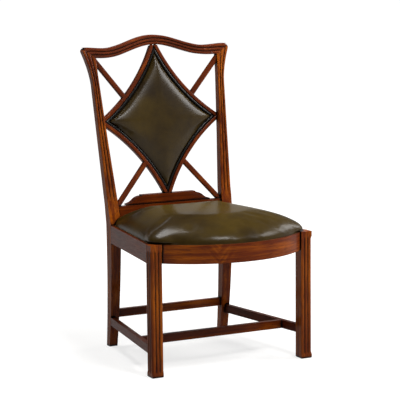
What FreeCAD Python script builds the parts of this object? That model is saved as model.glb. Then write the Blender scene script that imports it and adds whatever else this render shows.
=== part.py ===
"""Georgian-style dining side chair with a diamond leather back and a drop-in leather seat.

Millimetres. +Z is up, the chair faces -Y, +X is to the right of someone who looks at its front.
The model is drawn with y = 0 at the front faces of the front legs and z = 0 on the floor, and is
moved at the end so that the origin is under the middle of the whole chair.
"""

import FreeCAD
import Part
import math
import os

V = FreeCAD.Vector

# Fits
GLUE_GAP = 0.1            # room for glue round a tenon
SEAT_GAP = 0.6            # play round the drop-in seat
LEATHER_GAP = 0.1         # leather to the stuffing under it

# Front legs
FRONT_WIDTH = 562.0       # over the outer faces of the front legs
LEG_SIZE = 38.0           # square section
LEG_FOOT_PLAIN = 12.0     # plain height under the reeds
LEG_TOP_PLAIN = 15.0      # plain height over the reeds
LEG_REED_FADE = 9.0       # run-out of the reeds
LEG_FOOT_CHAMFER = 2.0
REED_COUNT = 3
LEG_REED_DEPTH = 2.6
PLAIN_CROWN = 0.2         # hand-planed faces stand this little proud of flat

# Seat rails
SEAT_RAIL_TOP = 409.0
SEAT_RAIL_HEIGHT = 58.0
SIDE_RAIL_THICK = 22.0
SIDE_RAIL_INSET = 2.5     # behind the outer face of leg and post
FRONT_RAIL_THICK = 20.0
FRONT_RAIL_SETBACK = 7.5  # ends of the rail behind the front faces of the legs
FRONT_RAIL_BOW = 101.5    # middle of the rail in front of its ends
REAR_RAIL_RISE = 57.0     # its top over the other rails
REAR_RAIL_SETBACK = 16.0  # its front face behind the front of the posts
REAR_RAIL_THICK = 22.0
WELL_DEPTH = 16.0         # rebate that the seat drops into
SIDE_LIP = 8.0            # rail top left outside the rebate
FRONT_LIP = 4.0

# Back posts, which run from the floor to the ears
POST_FOOT_OUTER = 219.0   # half width over the posts
POST_SEAT_OUTER = 224.0
POST_NECK_OUTER = 239.5
POST_FOOT_WIDTH = 28.0
POST_SEAT_WIDTH = 37.0
POST_BLOCK_WIDTH = 36.0   # where the reeds start
POST_WAIST_WIDTH = 28.5   # halfway up the back
POST_NECK_WIDTH = 23.0
POST_FOOT_DEPTH = 28.0
POST_SEAT_DEPTH = 40.0
POST_BLOCK_DEPTH = 33.0
POST_NECK_DEPTH = 28.0
POST_SEAT_FRONT = 424.0   # y of the front face at the rail top
POST_FOOT_RAKE = 36.0     # foot behind that
POST_LEAN = 0.18          # back lean, depth per height
POST_BLOCK_RISE = 69.0    # plain block over the rails, where the reeds begin
POST_REED_FADE = 26.0
POST_REED_DEPTH = 2.6
POST_NECK_DROP = 128.0    # neck under the ear
POST_BACK_ROUND = 5.0

# Ears and crest rail
EAR_OUTER = 271.0         # half width over the ears
BACK_HEIGHT = 569.0       # outer corner of the ear's mitre over the rails
EAR_INNER = 221.0         # inner corner of the mitre
EAR_DROP = 32.0           # inner corner under the outer one
EAR_ROUND = 12.0
EAR_LIFT = 1.5            # crest's upper edge over the mitre, halfway to its dip
EAR_FLARE = 1.7           # power by which the post's outer edge sweeps out
EAR_STATIONS = 5          # sections between the neck and the mitre
CREST_DIP = 185.0         # half distance between the low points of the crest
CREST_DIP_DROP = 1.5      # low points under the ears
CREST_RISE = 38.0         # middle of the crest over its low points
CREST_HEIGHT = 31.5
CREST_SAG = 22.0          # middle of the crest behind its ends
CREST_STATIONS = 5        # sections between the middle and each dip

# Stretchers
STRETCHER_BOTTOM = 73.5
STRETCHER_HEIGHT = 26.5
STRETCHER_THICK = 16.0
STRETCHER_INSET = 1.5     # behind the outer faces of the legs
CROSS_STRETCHER_Y = 145.0
REAR_STRETCHER_BOTTOM = 98.5
REAR_STRETCHER_SETBACK = 5.0

# Shoe, the moulded block on the rear rail that carries the back panel
SHOE_HEIGHT = 31.0        # over the rear rail
SHOE_HALF_LENGTH = 98.0
SHOE_FOOT_HALF_LENGTH = 152.0
SHOE_SETBACK = 10.0       # behind the front of the rear rail
SHOE_THICK = 24.0
SHOE_STEP = 4.0           # fillet step at each end of its top
SHOE_EDGE_HEIGHT = 4.0    # thin ends on the rail
OGEE_ALONG = 0.6          # place of each curve's middle between its ends, along and up
OGEE_UP = 0.8

# Diamond panel, drawn flat and then leant back on the shoe
PANEL_SETBACK = 4.0       # front of the diamond behind the front of the shoe
PANEL_LEAN = 0.2
DIAMOND_TOP_GAP = 1.7     # its upper shoulder under the crest's lower edge
DIAMOND_SIDE_GAP = 3.1    # its side shoulders inside the posts
DIAMOND_TIP = 14.0        # half width of the blunt tips
DIAMOND_HOLLOW = 20.5     # how far each side curves in
DIAMOND_RAIL_WIDTH = 14.0
DIAMOND_RAIL_THICK = 16.0
DIAMOND_RAIL_ROUND = 4.5
BEAD_WIDTH = 8.0
BEAD_SETBACK = 1.5
BEAD_ROUND = 3.4
BOARD_FRONT = 9.5         # depth of the board's face behind the rails' face
BOARD_THICK = 5.0
LEATHER = 1.2             # back leather
PAD_CROWN = 13.0          # pad stands this far in front of the rails
PAD_WALL = 5.0            # depth behind the rails' face at which the pad starts to curve in
PAD_DOME = 100.0          # distance from the pad's edge over which it rises

# Diagonal braces
BRACE_WIDTH = 18.0
BRACE_DEPTH = 14.0
BRACE_ROUND = 5.0
BRACE_SEAT = 24.0         # spare length at each end, scribed to what it meets
UPPER_BRACE_SETBACK = 6.0    # behind the front face of the post at its end
UPPER_BRACE_IN = 2.0         # its axis inside and under the ear's inner corner
UPPER_BRACE_DROP = 16.0
UPPER_BRACE_SHARE = 0.66     # place on the diamond's side, from the top tip to the side tip
LOWER_BRACE_SETBACK = 12.0
LOWER_BRACE_IN = 4.0         # its axis inside the post and over the rear rail
LOWER_BRACE_RISE = 4.0
LOWER_BRACE_SHARE = 0.38     # place on the diamond's side, from the bottom tip to the side tip

# Tenons
TENON_THICK = 8.0
TENON_LONG = 16.0
TENON_SHOULDER = 6.0
STUB_TENON = 8.0
TIP_TENON = 10.0
TIP_TENON_THICK = 5.0
TIP_TENON_OFF = 3.0       # off the middle of the tip, clear of the other rail's tenon
TIP_TENON_WIDE = 8.0
TIP_TENON_ROOT = 1.5
EAR_TENON_HALF = 8.0
EAR_TENON_LONG = 12.0

# Corner blocks and their screws
BLOCK_LEG = 62.0
BLOCK_FACE = 18.6         # its bare face from the corner of the leg
BLOCK_DROP = 2.0          # under the floor of the seat well
BLOCK_HEIGHT = 34.0
SCREW_SHANK = 5.0
SCREW_HEAD = 9.0
SCREW_HEAD_THICK = 3.0
SCREW_LONG = 40.0

# Stuffed forms rise along a quarter ellipse
DOME_STATIONS = 6
DOME_TURN = 86.0          # degrees, so that a small flat is left at the crown

# Drop-in seat
SEAT_LEATHER = 1.4
SEAT_FLANGE = 30.0        # leather turned under the frame
SEAT_CORNER = 15.0        # rounding of the seat's corners in plan
CORNER_PULL = 0.45        # how near the rounding comes to the sharp corner
SEAT_CROWN = 66.0         # middle of the seat over the rails
SEAT_DOME = 150.0         # distance from the seat's edge over which it rises
SEAT_FRAME_WIDTH = 46.0
SEAT_FRAME_THICK = 14.0
WEBBING_WIDTH = 50.0
WEBBING_THICK = 1.5
WEBBING_STRIPS = 3
DUST_COVER_THICK = 0.8
TACK_HEAD = 8.0
TACK_HEAD_THICK = 1.0
TACK_DOME = 0.8           # share of the head's thickness that is rounded
TACK_SHANK = 1.8
SEAT_TACK_LONG = 9.0
PANEL_TACK_LONG = 5.5
SEAT_TACKS_PER_SIDE = 5
PANEL_TACKS_PER_SIDE = 4

# Worked-out places
SEAT_RAIL_BOTTOM = SEAT_RAIL_TOP - SEAT_RAIL_HEIGHT
WELL_FLOOR = SEAT_RAIL_TOP - WELL_DEPTH
LEG_OUTER = FRONT_WIDTH / 2
LEG_INNER = LEG_OUTER - LEG_SIZE
STRETCHER_TOP = STRETCHER_BOTTOM + STRETCHER_HEIGHT
STRETCHER_MIDDLE = STRETCHER_BOTTOM + STRETCHER_HEIGHT / 2
BOW_RADIUS = (LEG_INNER ** 2 + FRONT_RAIL_BOW ** 2) / (2 * FRONT_RAIL_BOW)
BOW_APEX = FRONT_RAIL_SETBACK - FRONT_RAIL_BOW
BOW_CENTRE = BOW_APEX + BOW_RADIUS
REAR_RAIL_TOP = SEAT_RAIL_TOP + REAR_RAIL_RISE
REAR_RAIL_FRONT = POST_SEAT_FRONT + REAR_RAIL_SETBACK
POST_BLOCK_TOP = SEAT_RAIL_TOP + POST_BLOCK_RISE
POST_REED_START = POST_BLOCK_TOP + POST_REED_FADE
EAR_OUTER_HEIGHT = SEAT_RAIL_TOP + BACK_HEIGHT
EAR_INNER_HEIGHT = EAR_OUTER_HEIGHT - EAR_DROP
POST_NECK_HEIGHT = EAR_OUTER_HEIGHT - POST_NECK_DROP
POST_WAIST_HEIGHT = (POST_REED_START + POST_NECK_HEIGHT) / 2
CREST_DIP_TOP = EAR_OUTER_HEIGHT - CREST_DIP_DROP
SHOE_TOP = REAR_RAIL_TOP + SHOE_HEIGHT
SHOE_FRONT = REAR_RAIL_FRONT + SHOE_SETBACK
PANEL_FRONT = SHOE_FRONT + PANEL_SETBACK
PANEL_TILT = math.atan(PANEL_LEAN)
DIAMOND_TOP = CREST_DIP_TOP + CREST_RISE - CREST_HEIGHT - DIAMOND_TOP_GAP
DIAMOND_MIDDLE = (SHOE_TOP + DIAMOND_TOP) / 2
PANEL_TOP = (DIAMOND_TOP - SHOE_TOP) / math.cos(PANEL_TILT)
PANEL_MIDDLE = (DIAMOND_MIDDLE - SHOE_TOP) / math.cos(PANEL_TILT)
SEAT_BASE = WELL_FLOOR + SEAT_GAP / 2


def box(x0, x1, y0, y1, z0, z1):
    """Box between two corners, given in any order."""
    low = V(min(x0, x1), min(y0, y1), min(z0, z1))
    return Part.makeBox(abs(x1 - x0), abs(y1 - y0), abs(z1 - z0), low)


def plan_prism(points, bottom, top):
    """Prism over a plan polygon of (x, y) points."""
    corners = [V(x, y, bottom) for x, y in points]
    return Part.Face(Part.makePolygon(corners + corners[:1])).extrude(V(0, 0, top - bottom))


def mirrored(shape):
    """The same piece for the other side of the chair."""
    return shape.mirror(V(0, 0, 0), V(1, 0, 0))


def grown(shape, gap):
    """Box round a box-shaped tenon, larger by a gap on every side."""
    b = shape.BoundBox
    return box(b.XMin - gap, b.XMax + gap, b.YMin - gap, b.YMax + gap, b.ZMin - gap, b.ZMax + gap)


def tenoned(piece, hosts, tenons):
    """Shoulders a piece against its hosts, gives it tenons and returns it with the mortised hosts."""
    for host in hosts:
        piece = piece.cut(host)
    for tenon in tenons:
        piece = piece.fuse(tenon)
        hosts = [host.cut(grown(tenon, GLUE_GAP)) for host in hosts]
    return piece.removeSplitter(), hosts


def reed_arcs(start, end, outward, depth):
    """Row of convex reeds from start to end, each standing a depth out of that line."""
    arcs = []
    step = (end - start) * (1.0 / REED_COUNT)
    for n in range(REED_COUNT):
        first = start + step * n
        middle = first + step * 0.5 + outward * depth
        arcs.append(Part.Arc(first, middle, first + step).toShape())
    return arcs


def line(start, end):
    return Part.makeLine(start, end)


def leg_section(height, inset, reed):
    """Plan of a right front leg: reeds on its front and outer faces, plain faces inside."""
    inner = LEG_INNER + inset
    outer = LEG_OUTER - inset
    front = inset
    rear = LEG_SIZE - inset
    corner = V(outer - reed, front + reed, height)
    start = V(inner, front + reed, height)
    end = V(outer - reed, rear, height)
    edges = reed_arcs(start, corner, V(0, -1, 0), reed)
    edges += reed_arcs(corner, end, V(1, 0, 0), reed)
    edges.append(line(end, V(inner, rear, height)))
    edges.append(line(V(inner, rear, height), start))
    return Part.Wire(edges)


def front_leg():
    reed_low = LEG_FOOT_PLAIN
    reed_high = SEAT_RAIL_TOP - LEG_TOP_PLAIN
    sections = [
        leg_section(0, LEG_FOOT_CHAMFER, PLAIN_CROWN),
        leg_section(LEG_FOOT_CHAMFER, 0, PLAIN_CROWN),
        leg_section(reed_low, 0, PLAIN_CROWN),
        leg_section(reed_low + LEG_REED_FADE, 0, LEG_REED_DEPTH),
        leg_section(reed_high - LEG_REED_FADE, 0, LEG_REED_DEPTH),
        leg_section(reed_high, 0, PLAIN_CROWN),
        leg_section(SEAT_RAIL_TOP, 0, PLAIN_CROWN),
    ]
    return Part.makeLoft(sections, True, True)


def post_front(height):
    """y of a back post's front face: a swept leg under the seat, a straight lean above it."""
    if height < SEAT_RAIL_TOP:
        return POST_SEAT_FRONT + POST_FOOT_RAKE * (1 - height / SEAT_RAIL_TOP) ** 2
    return POST_SEAT_FRONT + POST_LEAN * (height - SEAT_RAIL_TOP)


def post_outer(height):
    """Half width over the posts at a height under the ears."""
    if height < SEAT_RAIL_TOP:
        return POST_FOOT_OUTER + (POST_SEAT_OUTER - POST_FOOT_OUTER) * height / SEAT_RAIL_TOP
    share = (height - SEAT_RAIL_TOP) / (POST_NECK_HEIGHT - SEAT_RAIL_TOP)
    return POST_SEAT_OUTER + (POST_NECK_OUTER - POST_SEAT_OUTER) * share


def post_inner(height):
    """Half width between the posts at a height from their waist to their neck."""
    share = (height - POST_WAIST_HEIGHT) / (POST_NECK_HEIGHT - POST_WAIST_HEIGHT)
    width = POST_WAIST_WIDTH + (POST_NECK_WIDTH - POST_WAIST_WIDTH) * share
    return post_outer(height) - width


def reeded_section(inner, outer, depth, reed):
    """Section of a post or of the crest: reeds in front, rounded corners behind."""
    back = V(0, 1, 0)
    across = (outer - inner).normalize()
    round_in = across * POST_BACK_ROUND
    inner_front = inner + back * reed
    outer_front = outer + back * reed
    inner_back = inner + back * depth
    outer_back = outer + back * depth
    edges = reed_arcs(inner_front, outer_front, V(0, -1, 0), reed)
    soft = POST_BACK_ROUND * (1 - math.sqrt(0.5))
    outer_side = outer_back - back * POST_BACK_ROUND
    inner_side = inner_back - back * POST_BACK_ROUND
    edges.append(line(outer_front, outer_side))
    outer_mid = outer_back - across * soft - back * soft
    edges.append(Part.Arc(outer_side, outer_mid, outer_back - round_in).toShape())
    edges.append(line(outer_back - round_in, inner_back + round_in))
    inner_mid = inner_back + across * soft - back * soft
    edges.append(Part.Arc(inner_back + round_in, inner_mid, inner_side).toShape())
    edges.append(line(inner_side, inner_front))
    return Part.Wire(edges)


def post_section(height, outer, width, depth, reed):
    front = post_front(height)
    return reeded_section(V(outer - width, front, height), V(outer, front, height), depth, reed)


def mitre_section():
    """The face on which post and crest meet at the ear."""
    inner = V(EAR_INNER, post_front(EAR_INNER_HEIGHT), EAR_INNER_HEIGHT)
    outer = V(EAR_OUTER, post_front(EAR_OUTER_HEIGHT), EAR_OUTER_HEIGHT)
    return reeded_section(inner, outer, POST_NECK_DEPTH, POST_REED_DEPTH)


def post_flare_section(share):
    """Section of the ear between the neck and the mitre, turning as it rises."""
    neck_inner = POST_NECK_OUTER - POST_NECK_WIDTH
    inner_z = POST_NECK_HEIGHT + (EAR_INNER_HEIGHT - POST_NECK_HEIGHT) * share
    outer_z = POST_NECK_HEIGHT + (EAR_OUTER_HEIGHT - POST_NECK_HEIGHT) * share
    inner_x = neck_inner + (EAR_INNER - neck_inner) * math.sin(share * math.pi / 2)
    outer_x = POST_NECK_OUTER + (EAR_OUTER - POST_NECK_OUTER) * share ** EAR_FLARE
    inner = V(inner_x, post_front(inner_z), inner_z)
    outer = V(outer_x, post_front(outer_z), outer_z)
    return reeded_section(inner, outer, POST_NECK_DEPTH, POST_REED_DEPTH)


def back_post():
    waist = POST_WAIST_HEIGHT
    waist_depth = (POST_BLOCK_DEPTH + POST_NECK_DEPTH) / 2
    leg = []
    for share in (0.0, 0.25, 0.5, 0.75, 1.0):
        height = SEAT_RAIL_TOP * share
        width = POST_FOOT_WIDTH + (POST_SEAT_WIDTH - POST_FOOT_WIDTH) * share
        depth = POST_FOOT_DEPTH + (POST_SEAT_DEPTH - POST_FOOT_DEPTH) * math.sin(share * math.pi / 2)
        leg.append(post_section(height, post_outer(height), width, depth, PLAIN_CROWN))
    block = [
        post_section(SEAT_RAIL_TOP, POST_SEAT_OUTER, POST_SEAT_WIDTH, POST_SEAT_DEPTH, PLAIN_CROWN),
        post_section(POST_BLOCK_TOP, post_outer(POST_BLOCK_TOP), POST_BLOCK_WIDTH,
                     POST_BLOCK_DEPTH, PLAIN_CROWN),
        post_section(POST_REED_START, post_outer(POST_REED_START), POST_BLOCK_WIDTH,
                     POST_BLOCK_DEPTH, POST_REED_DEPTH),
    ]
    shaft = [
        block[-1],
        post_section(waist, post_outer(waist), POST_WAIST_WIDTH, waist_depth, POST_REED_DEPTH),
        post_flare_section(0.0),
    ]
    ear = [post_flare_section(n / EAR_STATIONS) for n in range(EAR_STATIONS)] + [mitre_section()]
    lower = Part.makeLoft(leg, True, False)
    straight = [Part.makeLoft(block, True, True), Part.makeLoft(shaft, True, True)]
    return lower.fuse(straight + [Part.makeLoft(ear, True, False)]).removeSplitter()


def crest_top(x):
    """Height of the crest's upper edge between its low points."""
    return CREST_DIP_TOP + CREST_RISE * 0.5 * (1 + math.cos(math.pi * x / CREST_DIP))


def crest_section(x):
    top = crest_top(x)
    bottom = top - CREST_HEIGHT
    sag = CREST_SAG * (1 - (x / EAR_INNER) ** 2)
    lower = V(x, post_front(bottom) + sag, bottom)
    upper = V(x, post_front(top) + sag, top)
    return reeded_section(lower, upper, POST_NECK_DEPTH, POST_REED_DEPTH)


def crest_turn_section():
    """Section between the dip and the mitre, half turned towards it."""
    lower_x = (CREST_DIP + EAR_INNER) / 2
    upper_x = (CREST_DIP + EAR_OUTER) / 2
    lower_z = CREST_DIP_TOP - CREST_HEIGHT
    upper_z = EAR_OUTER_HEIGHT + EAR_LIFT
    lower_sag = CREST_SAG * (1 - (lower_x / EAR_INNER) ** 2)
    lower = V(lower_x, post_front(lower_z) + lower_sag, lower_z)
    upper = V(upper_x, post_front(upper_z) + lower_sag / 2, upper_z)
    return reeded_section(lower, upper, POST_NECK_DEPTH, POST_REED_DEPTH)


def crest_rail():
    half = [mitre_section(), crest_turn_section()]
    half += [crest_section(CREST_DIP * (1 - n / CREST_STATIONS)) for n in range(CREST_STATIONS)]
    other = [mirrored(wire) for wire in half]
    return Part.makeLoft(half + [crest_section(0.0)] + other[::-1], True, False)


def ear_rounding():
    """What is taken off the outer corner of a right ear."""
    corner = V(EAR_OUTER, 0, EAR_OUTER_HEIGHT)
    along_crest = V(-1, 0, 0)
    sweep = (POST_NECK_OUTER - EAR_OUTER) * EAR_FLARE
    down_post = V(sweep, 0, POST_NECK_HEIGHT - EAR_OUTER_HEIGHT).normalize()
    half_angle = along_crest.getAngle(down_post) / 2
    reach = EAR_ROUND / math.tan(half_angle)
    bisector = (along_crest + down_post).normalize()
    first = corner + along_crest * reach
    last = corner + down_post * reach
    middle = corner + bisector * (EAR_ROUND / math.sin(half_angle) - EAR_ROUND)
    past = corner - bisector * EAR_ROUND
    edges = [
        Part.Arc(first, middle, last).toShape(),
        line(last, past),
        line(past, first),
    ]
    return Part.Face(Part.Wire(edges)).extrude(V(0, 2 * POST_SEAT_FRONT, 0))


def diamond_reach():
    """Half width of the diamond over its side shoulders."""
    return post_inner(DIAMOND_MIDDLE) - DIAMOND_SIDE_GAP


def diamond_circle():
    """Centre (x, s) and radius of the arc of the upper right side, in the panel's plane."""
    x0, s0 = DIAMOND_TIP, PANEL_TOP
    x1, s1 = diamond_reach(), PANEL_MIDDLE + DIAMOND_TIP
    chord = math.hypot(x1 - x0, s1 - s0)
    radius = chord ** 2 / (8 * DIAMOND_HOLLOW) + DIAMOND_HOLLOW / 2
    out_x, out_s = (s0 - s1) / chord, (x1 - x0) / chord
    reach = radius - DIAMOND_HOLLOW
    return (x0 + x1) / 2 + out_x * reach, (s0 + s1) / 2 + out_s * reach, radius


def diamond_point(share):
    """(x, s) on the outline's upper right side, at a share of its angle from top to side tip."""
    x, s, radius = diamond_circle()
    top = math.atan2(PANEL_TOP - s, DIAMOND_TIP - x)
    side = math.atan2(PANEL_MIDDLE + DIAMOND_TIP - s, diamond_reach() - x)
    if side < top:
        side += 2 * math.pi
    angle = top + (side - top) * share
    return x + radius * math.cos(angle), s + radius * math.sin(angle)


def lean_back(shape):
    """Turns a piece drawn in the panel's plane (x, depth, s) to its place on the shoe."""
    turned = shape.copy()
    turned.rotate(V(0, 0, 0), V(1, 0, 0), -math.degrees(PANEL_TILT))
    turned.translate(V(0, PANEL_FRONT, SHOE_TOP))
    return turned


def over(shape):
    """The lower half of the diamond from the upper half, in the panel's plane."""
    return shape.mirror(V(0, 0, PANEL_MIDDLE), V(0, 0, 1))


def diamond_ring(inner_add, outer_add, front, back, rounding):
    """Upper right side of the diamond between two offsets of its outline, rounded in front."""
    x, s, radius = diamond_circle()
    axis = V(0, 1, 0)
    centre = V(x, front, s)
    ring = Part.makeCylinder(radius + outer_add, back - front, centre, axis)
    ring = ring.cut(Part.makeCylinder(radius + inner_add, back - front, centre, axis))
    faces = [e for e in ring.Edges if e.Closed and abs(e.CenterOfMass.y - front) < 1e-6]
    ring = ring.makeFillet(rounding, faces)
    quarter = box(0, diamond_reach() + TIP_TENON, front, back, PANEL_MIDDLE, PANEL_TOP)
    return ring.common(quarter)


def diamond_outline(add, depth):
    """Closed outline of four hollow sides at an offset inside the diamond."""
    x, s, radius = diamond_circle()
    reach = radius + add
    top = V(0, depth, s - math.sqrt(reach ** 2 - x ** 2))
    side = V(x - math.sqrt(reach ** 2 - (s - PANEL_MIDDLE) ** 2), depth, PANEL_MIDDLE)
    to_middle = V(-x, 0, PANEL_MIDDLE - s).normalize()
    middle = V(x, depth, s) + to_middle * reach
    bottom = V(0, depth, 2 * PANEL_MIDDLE - top.z)
    left = V(-side.x, depth, PANEL_MIDDLE)
    low = 2 * PANEL_MIDDLE - middle.z
    edges = [
        Part.Arc(top, middle, side).toShape(),
        Part.Arc(side, V(middle.x, depth, low), bottom).toShape(),
        Part.Arc(bottom, V(-middle.x, depth, low), left).toShape(),
        Part.Arc(left, V(-middle.x, depth, middle.z), top).toShape(),
    ]
    return Part.Wire(edges)


def diamond_plate(add, front, back):
    return Part.Face(diamond_outline(add, front)).extrude(V(0, back - front, 0))


def dome():
    """Inset and height, as shares, of points up a quarter ellipse from an edge to a crown."""
    angles = [n * DOME_TURN / DOME_STATIONS for n in range(DOME_STATIONS + 1)]
    return [(1 - math.cos(math.radians(a)), math.sin(math.radians(a))) for a in angles]


def pad_form(skin):
    """Crowned pad in front of the board, a skin's thickness inside the leather's outer face."""
    edge = DIAMOND_RAIL_WIDTH + BEAD_WIDTH + LEATHER_GAP + skin
    wall = diamond_plate(edge, PAD_WALL, BOARD_FRONT - LEATHER_GAP)
    rise = PAD_WALL + PAD_CROWN - skin
    wires = []
    for inset, height in dome():
        wires.append(diamond_outline(edge + PAD_DOME * inset, PAD_WALL - rise * height))
    return wall.fuse(Part.makeLoft(wires, True, False)).removeSplitter()


def brace(outer_x, outer_z, setback, inner_x, inner_s):
    """Rounded diagonal bar between a point by the post and one on the diamond's outline."""
    start = V(outer_x, post_front(outer_z) + setback + BRACE_DEPTH / 2, outer_z)
    inner_z = SHOE_TOP + inner_s * math.cos(PANEL_TILT)
    end_y = PANEL_FRONT + PANEL_LEAN * (inner_z - SHOE_TOP) + DIAMOND_RAIL_THICK / 2
    end = V(inner_x, end_y, inner_z)
    axis = (end - start).normalize()
    start = start - axis * BRACE_SEAT
    end = end + axis * BRACE_SEAT
    across = V(axis.z, 0, -axis.x).normalize()
    back = axis.cross(across).normalize()
    half_w = BRACE_WIDTH / 2
    half_d = BRACE_DEPTH / 2
    corners = []
    for a, b in ((-1, -1), (1, -1), (1, 1), (-1, 1)):
        corners.append(start + across * (a * half_w) + back * (b * half_d))
    bar = Part.Face(Part.makePolygon(corners + corners[:1])).extrude(end - start)
    long_edges = [e for e in bar.Edges if abs(e.Length - (end - start).Length) < 1e-6]
    return bar.makeFillet(BRACE_ROUND, long_edges)


def side_x(y, front_x, rear_x):
    """x of a straight side that runs from the front leg's rear face to the back post."""
    share = (y - LEG_SIZE) / (POST_SEAT_FRONT - LEG_SIZE)
    return front_x + (rear_x - front_x) * share


def side_bar(inset, thick, rear_outer, rear_y, bottom, top):
    """Bar from a right front leg to a back post, its ends square to the chair."""
    front_x = LEG_OUTER - inset
    rear_x = rear_outer - inset
    run = rear_y - LEG_SIZE
    wide = thick * math.hypot(run, front_x - rear_x) / run
    points = [(front_x, LEG_SIZE), (rear_x, rear_y), (rear_x - wide, rear_y), (front_x - wide, LEG_SIZE)]
    return plan_prism(points, bottom, top)


def bow(radius_less, bottom, top):
    """Disc about the centre of the front rail's curve."""
    return Part.makeCylinder(BOW_RADIUS - radius_less, top - bottom, V(0, BOW_CENTRE, bottom))


def front_rail():
    rail = bow(0, SEAT_RAIL_BOTTOM, SEAT_RAIL_TOP)
    rail = rail.cut(bow(FRONT_RAIL_THICK, SEAT_RAIL_BOTTOM, SEAT_RAIL_TOP))
    span = box(-LEG_INNER, LEG_INNER, BOW_APEX, LEG_SIZE, SEAT_RAIL_BOTTOM, SEAT_RAIL_TOP)
    return rail.common(span)


def seat_side(y, inset):
    """x of the seat's right side, an inset inside the lip of the side rail."""
    front_x = LEG_OUTER - SIDE_RAIL_INSET - SIDE_LIP
    rear_x = POST_SEAT_OUTER - SIDE_RAIL_INSET - SIDE_LIP
    slope = math.hypot(POST_SEAT_FRONT - LEG_SIZE, front_x - rear_x) / (POST_SEAT_FRONT - LEG_SIZE)
    return side_x(y, front_x, rear_x) - inset * slope


def seat_outline(inset, height):
    """Plan of the seat at an inset: bowed front, straight sides, rounded corners."""
    radius = BOW_RADIUS - FRONT_LIP - inset
    rear = REAR_RAIL_FRONT - inset
    front = FRONT_RAIL_SETBACK
    for _ in range(40):
        front = BOW_CENTRE - math.sqrt(radius ** 2 - seat_side(front, inset) ** 2)
    corner = V(seat_side(front, inset), front, height)
    side_end = V(seat_side(front + SEAT_CORNER, inset), front + SEAT_CORNER, height)
    bow_x = corner.x - SEAT_CORNER
    bow_end = V(bow_x, BOW_CENTRE - math.sqrt(radius ** 2 - bow_x ** 2), height)
    soft = corner * CORNER_PULL + (side_end + bow_end) * ((1 - CORNER_PULL) / 2)
    rear_end = V(seat_side(rear, inset), rear, height)
    apex = V(0, BOW_CENTRE - radius, height)

    def flip(p):
        return V(-p.x, p.y, p.z)

    edges = [
        line(rear_end, side_end),
        Part.Arc(side_end, soft, bow_end).toShape(),
        Part.Arc(bow_end, apex, flip(bow_end)).toShape(),
        Part.Arc(flip(bow_end), flip(soft), flip(side_end)).toShape(),
        line(flip(side_end), flip(rear_end)),
        line(flip(rear_end), rear_end),
    ]
    return Part.Wire(edges)


def seat_plate(inset, bottom, top):
    return Part.Face(seat_outline(inset, bottom)).extrude(V(0, 0, top - bottom))


def post_room(bottom, top, gap):
    """Room kept round both back posts, which the seat is notched for."""
    inner = POST_SEAT_OUTER - POST_SEAT_WIDTH - gap
    front = post_front(SEAT_RAIL_TOP) - gap
    right = box(inner, LEG_OUTER, front, REAR_RAIL_FRONT + LEG_SIZE, bottom, top)
    return right.fuse(mirrored(right))


def seat_form(skin, base):
    """Crowned seat over a base height, a skin's thickness inside the leather's outer face."""
    edge = SEAT_GAP + skin
    rise = SEAT_CROWN - skin
    wires = []
    for inset, height in dome():
        wires.append(seat_outline(edge + SEAT_DOME * inset, SEAT_RAIL_TOP + rise * height))
    whole = seat_plate(edge, base, SEAT_RAIL_TOP).fuse(Part.makeLoft(wires, True, False))
    room = post_room(base - SEAT_GAP, SEAT_RAIL_TOP + SEAT_CROWN, edge)
    return whole.cut(room).removeSplitter()


def tack(point, direction, length):
    """Domed upholstery tack, its head outside the point and its shank along the direction."""
    head = Part.makeCylinder(TACK_HEAD / 2, TACK_HEAD_THICK, point, direction * -1)
    outer = point - direction * TACK_HEAD_THICK
    rim = [e for e in head.Edges if e.Closed and (e.CenterOfMass - outer).Length < 1e-6]
    head = head.makeFillet(TACK_HEAD_THICK * TACK_DOME, rim)
    return head.fuse(Part.makeCylinder(TACK_SHANK / 2, length, point, direction))


def screw(point, direction):
    """Round-headed wood screw, its head on the point and its shank along the direction."""
    head = Part.makeCylinder(SCREW_HEAD / 2, SCREW_HEAD_THICK, point, direction * -1)
    return head.fuse(Part.makeCylinder(SCREW_SHANK / 2, SCREW_LONG, point, direction))


def pilot(point, direction, diameter, depth):
    """Hole for a screw or tack, with a gap round it."""
    return Part.makeCylinder(diameter / 2 + GLUE_GAP, depth + GLUE_GAP, point, direction)


def rail_tenon_heights(bottom, top):
    return bottom + TENON_SHOULDER, top - TENON_SHOULDER


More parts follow.
